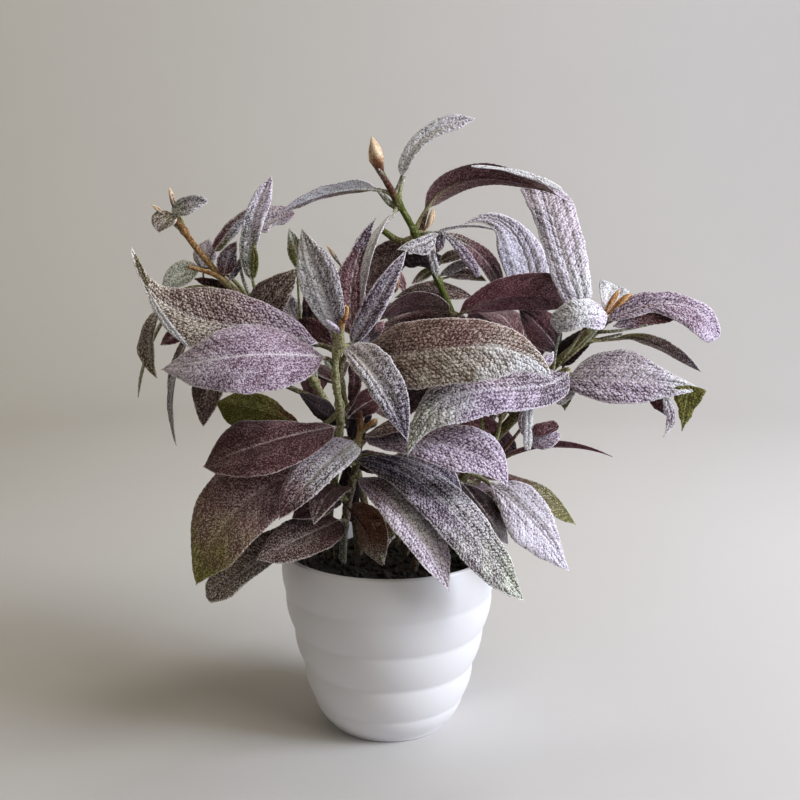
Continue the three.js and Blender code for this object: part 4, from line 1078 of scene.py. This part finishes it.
def build_plant(leaf_material, wood_material):
    seed, grown = FIRST_SEED, 0
    for name, route in STEMS.items():
        line = through([(*route[0][:2], SOIL["root"]), *route], CURVE_STEPS)
        leaves, wood, buds = Surfaces(), Surfaces(), Surfaces()
        joints = []
        for _, at, width, fold, face, points, finish, *shape in LEAVES.get(name, []):
            seed += SEED_STEP
            grid_step = FINE_STEP if finish[2] >= PEBBLED else STEP
            add_leaf(leaves, line, at, width, fold, face, points, finish, seed, grid_step, *shape)
            joints.append(at)
        for at, *growth, width in GROWN[name]:
            seed += SEED_STEP
            grown += 1
            points = grown_midrib(line.at(at), *growth)
            finish = GROWN_FINISHES[grown % len(GROWN_FINISHES)]
            add_leaf(leaves, line, at, width, GROWN_FOLD, (0, 0, 1), points, finish, seed, COARSE_STEP)
            joints.append(at)
        add_stem(wood, line, joints, STEM_FINISHES[name], seed)
        for looks, face, halves, *points in FOLDS.get(name, []):
            seed += SEED_STEP
            add_fold(leaves, looks, face, halves, points, seed)
        for radius, looks, *points in TWIGS.get(name, []):
            add_twig(wood, radius, looks, points)
        for radius, *points in BUDS.get(name, []):
            add_bud(buds, radius, BUD_LOOKS.get(name, PLAIN_BUD), points)
        leaves.build(f"leaves_{name}", leaf_material, "leaf", [f"stem_{name}"])
        wood.build(f"wood_{name}", wood_material, "stem", [f"stem_{name}"])
        if name in BUDS:
            buds.build(f"buds_{name}", wood_material, "bud", [f"stem_{name}"])


# ---- floor, light and camera
FLOOR = dict(flat=0.95, bend=0.6, top=2.3, sides=96, steps=16)  # metres, and how finely it is made
PLANT_MIDDLE = (0.0, 0.0, 0.15)
# Light: name, place, what it points at and size, all in metres, then energy and colour.
LIGHTS = [
    ("window", (1.2, -0.3, 0.66), PLANT_MIDDLE, (0.55, 0.6), 18.8, (0.84, 0.92, 1.05)),
    ("ceiling", (0.8, -0.62, 1.1), PLANT_MIDDLE, (0.8, 0.6), 6.3, (1.0, 0.95, 0.88)),
    ("wall_wash", (0.4, 0.25, 1.15), (-0.2, 1.3, 0.5), (0.8, 0.4), 6.6, (1.0, 0.98, 0.95)),
]
ROOM_COLOUR, ROOM_STRENGTH = (1.0, 0.76, 0.28, 1), 0.25
FOCAL_PIXELS, IMAGE_SIDE, SENSOR = 977, 800, 36.0
POT_AXIS_PIXEL = 388.7  # where the pot's axis stands in the photograph, from the left
CAMERA_PLACE, CAMERA_TILT = (0, -0.468, 0.236), 9.0  # metres, and degrees below level


def build_floor():
    """A pale floor that sweeps up all round, far outside the object."""
    flat, bend, sides = FLOOR["flat"], FLOOR["bend"], FLOOR["sides"]
    quarter = np.radians(np.linspace(0, 90, FLOOR["steps"]))
    radius = [0.02, 0.3, 0.6, *(flat + bend * np.sin(quarter)), flat + bend]
    height = [0, 0, 0, *(bend - bend * np.cos(quarter)), FLOOR["top"]]
    rings = zip(radius, height)
    points = [(r * math.cos(a), r * math.sin(a), z) for r, z in rings for a in full_turn(sides)]
    number = np.arange(len(points)).reshape(len(radius), sides)
    onward = np.roll(number, -1, axis=1)
    faces = np.stack([number[:-1], number[1:], onward[1:], onward[:-1]], axis=-1).reshape(-1, 4)
    mesh = bpy.data.meshes.new("floor")
    mesh.from_pydata(points, [], [*faces.tolist(), number[0].tolist()])
    mesh.polygons.foreach_set("use_smooth", [True] * len(mesh.polygons))
    mesh.materials.append(pale_floor())
    floor = add_object("floor", mesh)


def build_lights():
    for name, place, target, size, energy, colour in LIGHTS:
        data = bpy.data.lights.new(name, "AREA")
        data.shape, data.size, data.size_y = "RECTANGLE", *size
        data.energy, data.color = energy, colour
        light = add_object(name, data)
        light.location = place
        light.rotation_euler = (Vector(target) - Vector(place)).to_track_quat("-Z", "Y").to_euler()
        light.visible_camera = False
    world = bpy.data.worlds.new("soft_room")
    world.use_nodes = True
    room = {"Color": ROOM_COLOUR, "Strength": ROOM_STRENGTH}
    set_inputs(world.node_tree, world.node_tree.nodes["Background"], room)
    bpy.context.scene.world = world


def build_camera():
    data = bpy.data.cameras.new("camera")
    data.sensor_width = SENSOR
    data.lens = FOCAL_PIXELS / IMAGE_SIDE * SENSOR
    data.shift_x = (IMAGE_SIDE / 2 - POT_AXIS_PIXEL) / IMAGE_SIDE
    data.clip_start, data.clip_end = 0.01, 20
    camera = add_object("camera", data)
    camera.location = CAMERA_PLACE
    camera.rotation_euler = (math.radians(90 - CAMERA_TILT), 0, 0)
    bpy.context.scene.camera = camera


build_camera()
build_lights()
build_floor()
build_pot(pot_plastic())
build_soil(dark_soil(), np.random.default_rng(5))
build_plant(downy_skin("downy_leaf", 0.54, 5.4), downy_skin("downy_bark", 0.9, 3.0))
bpy.context.scene.view_settings.view_transform = "Standard"
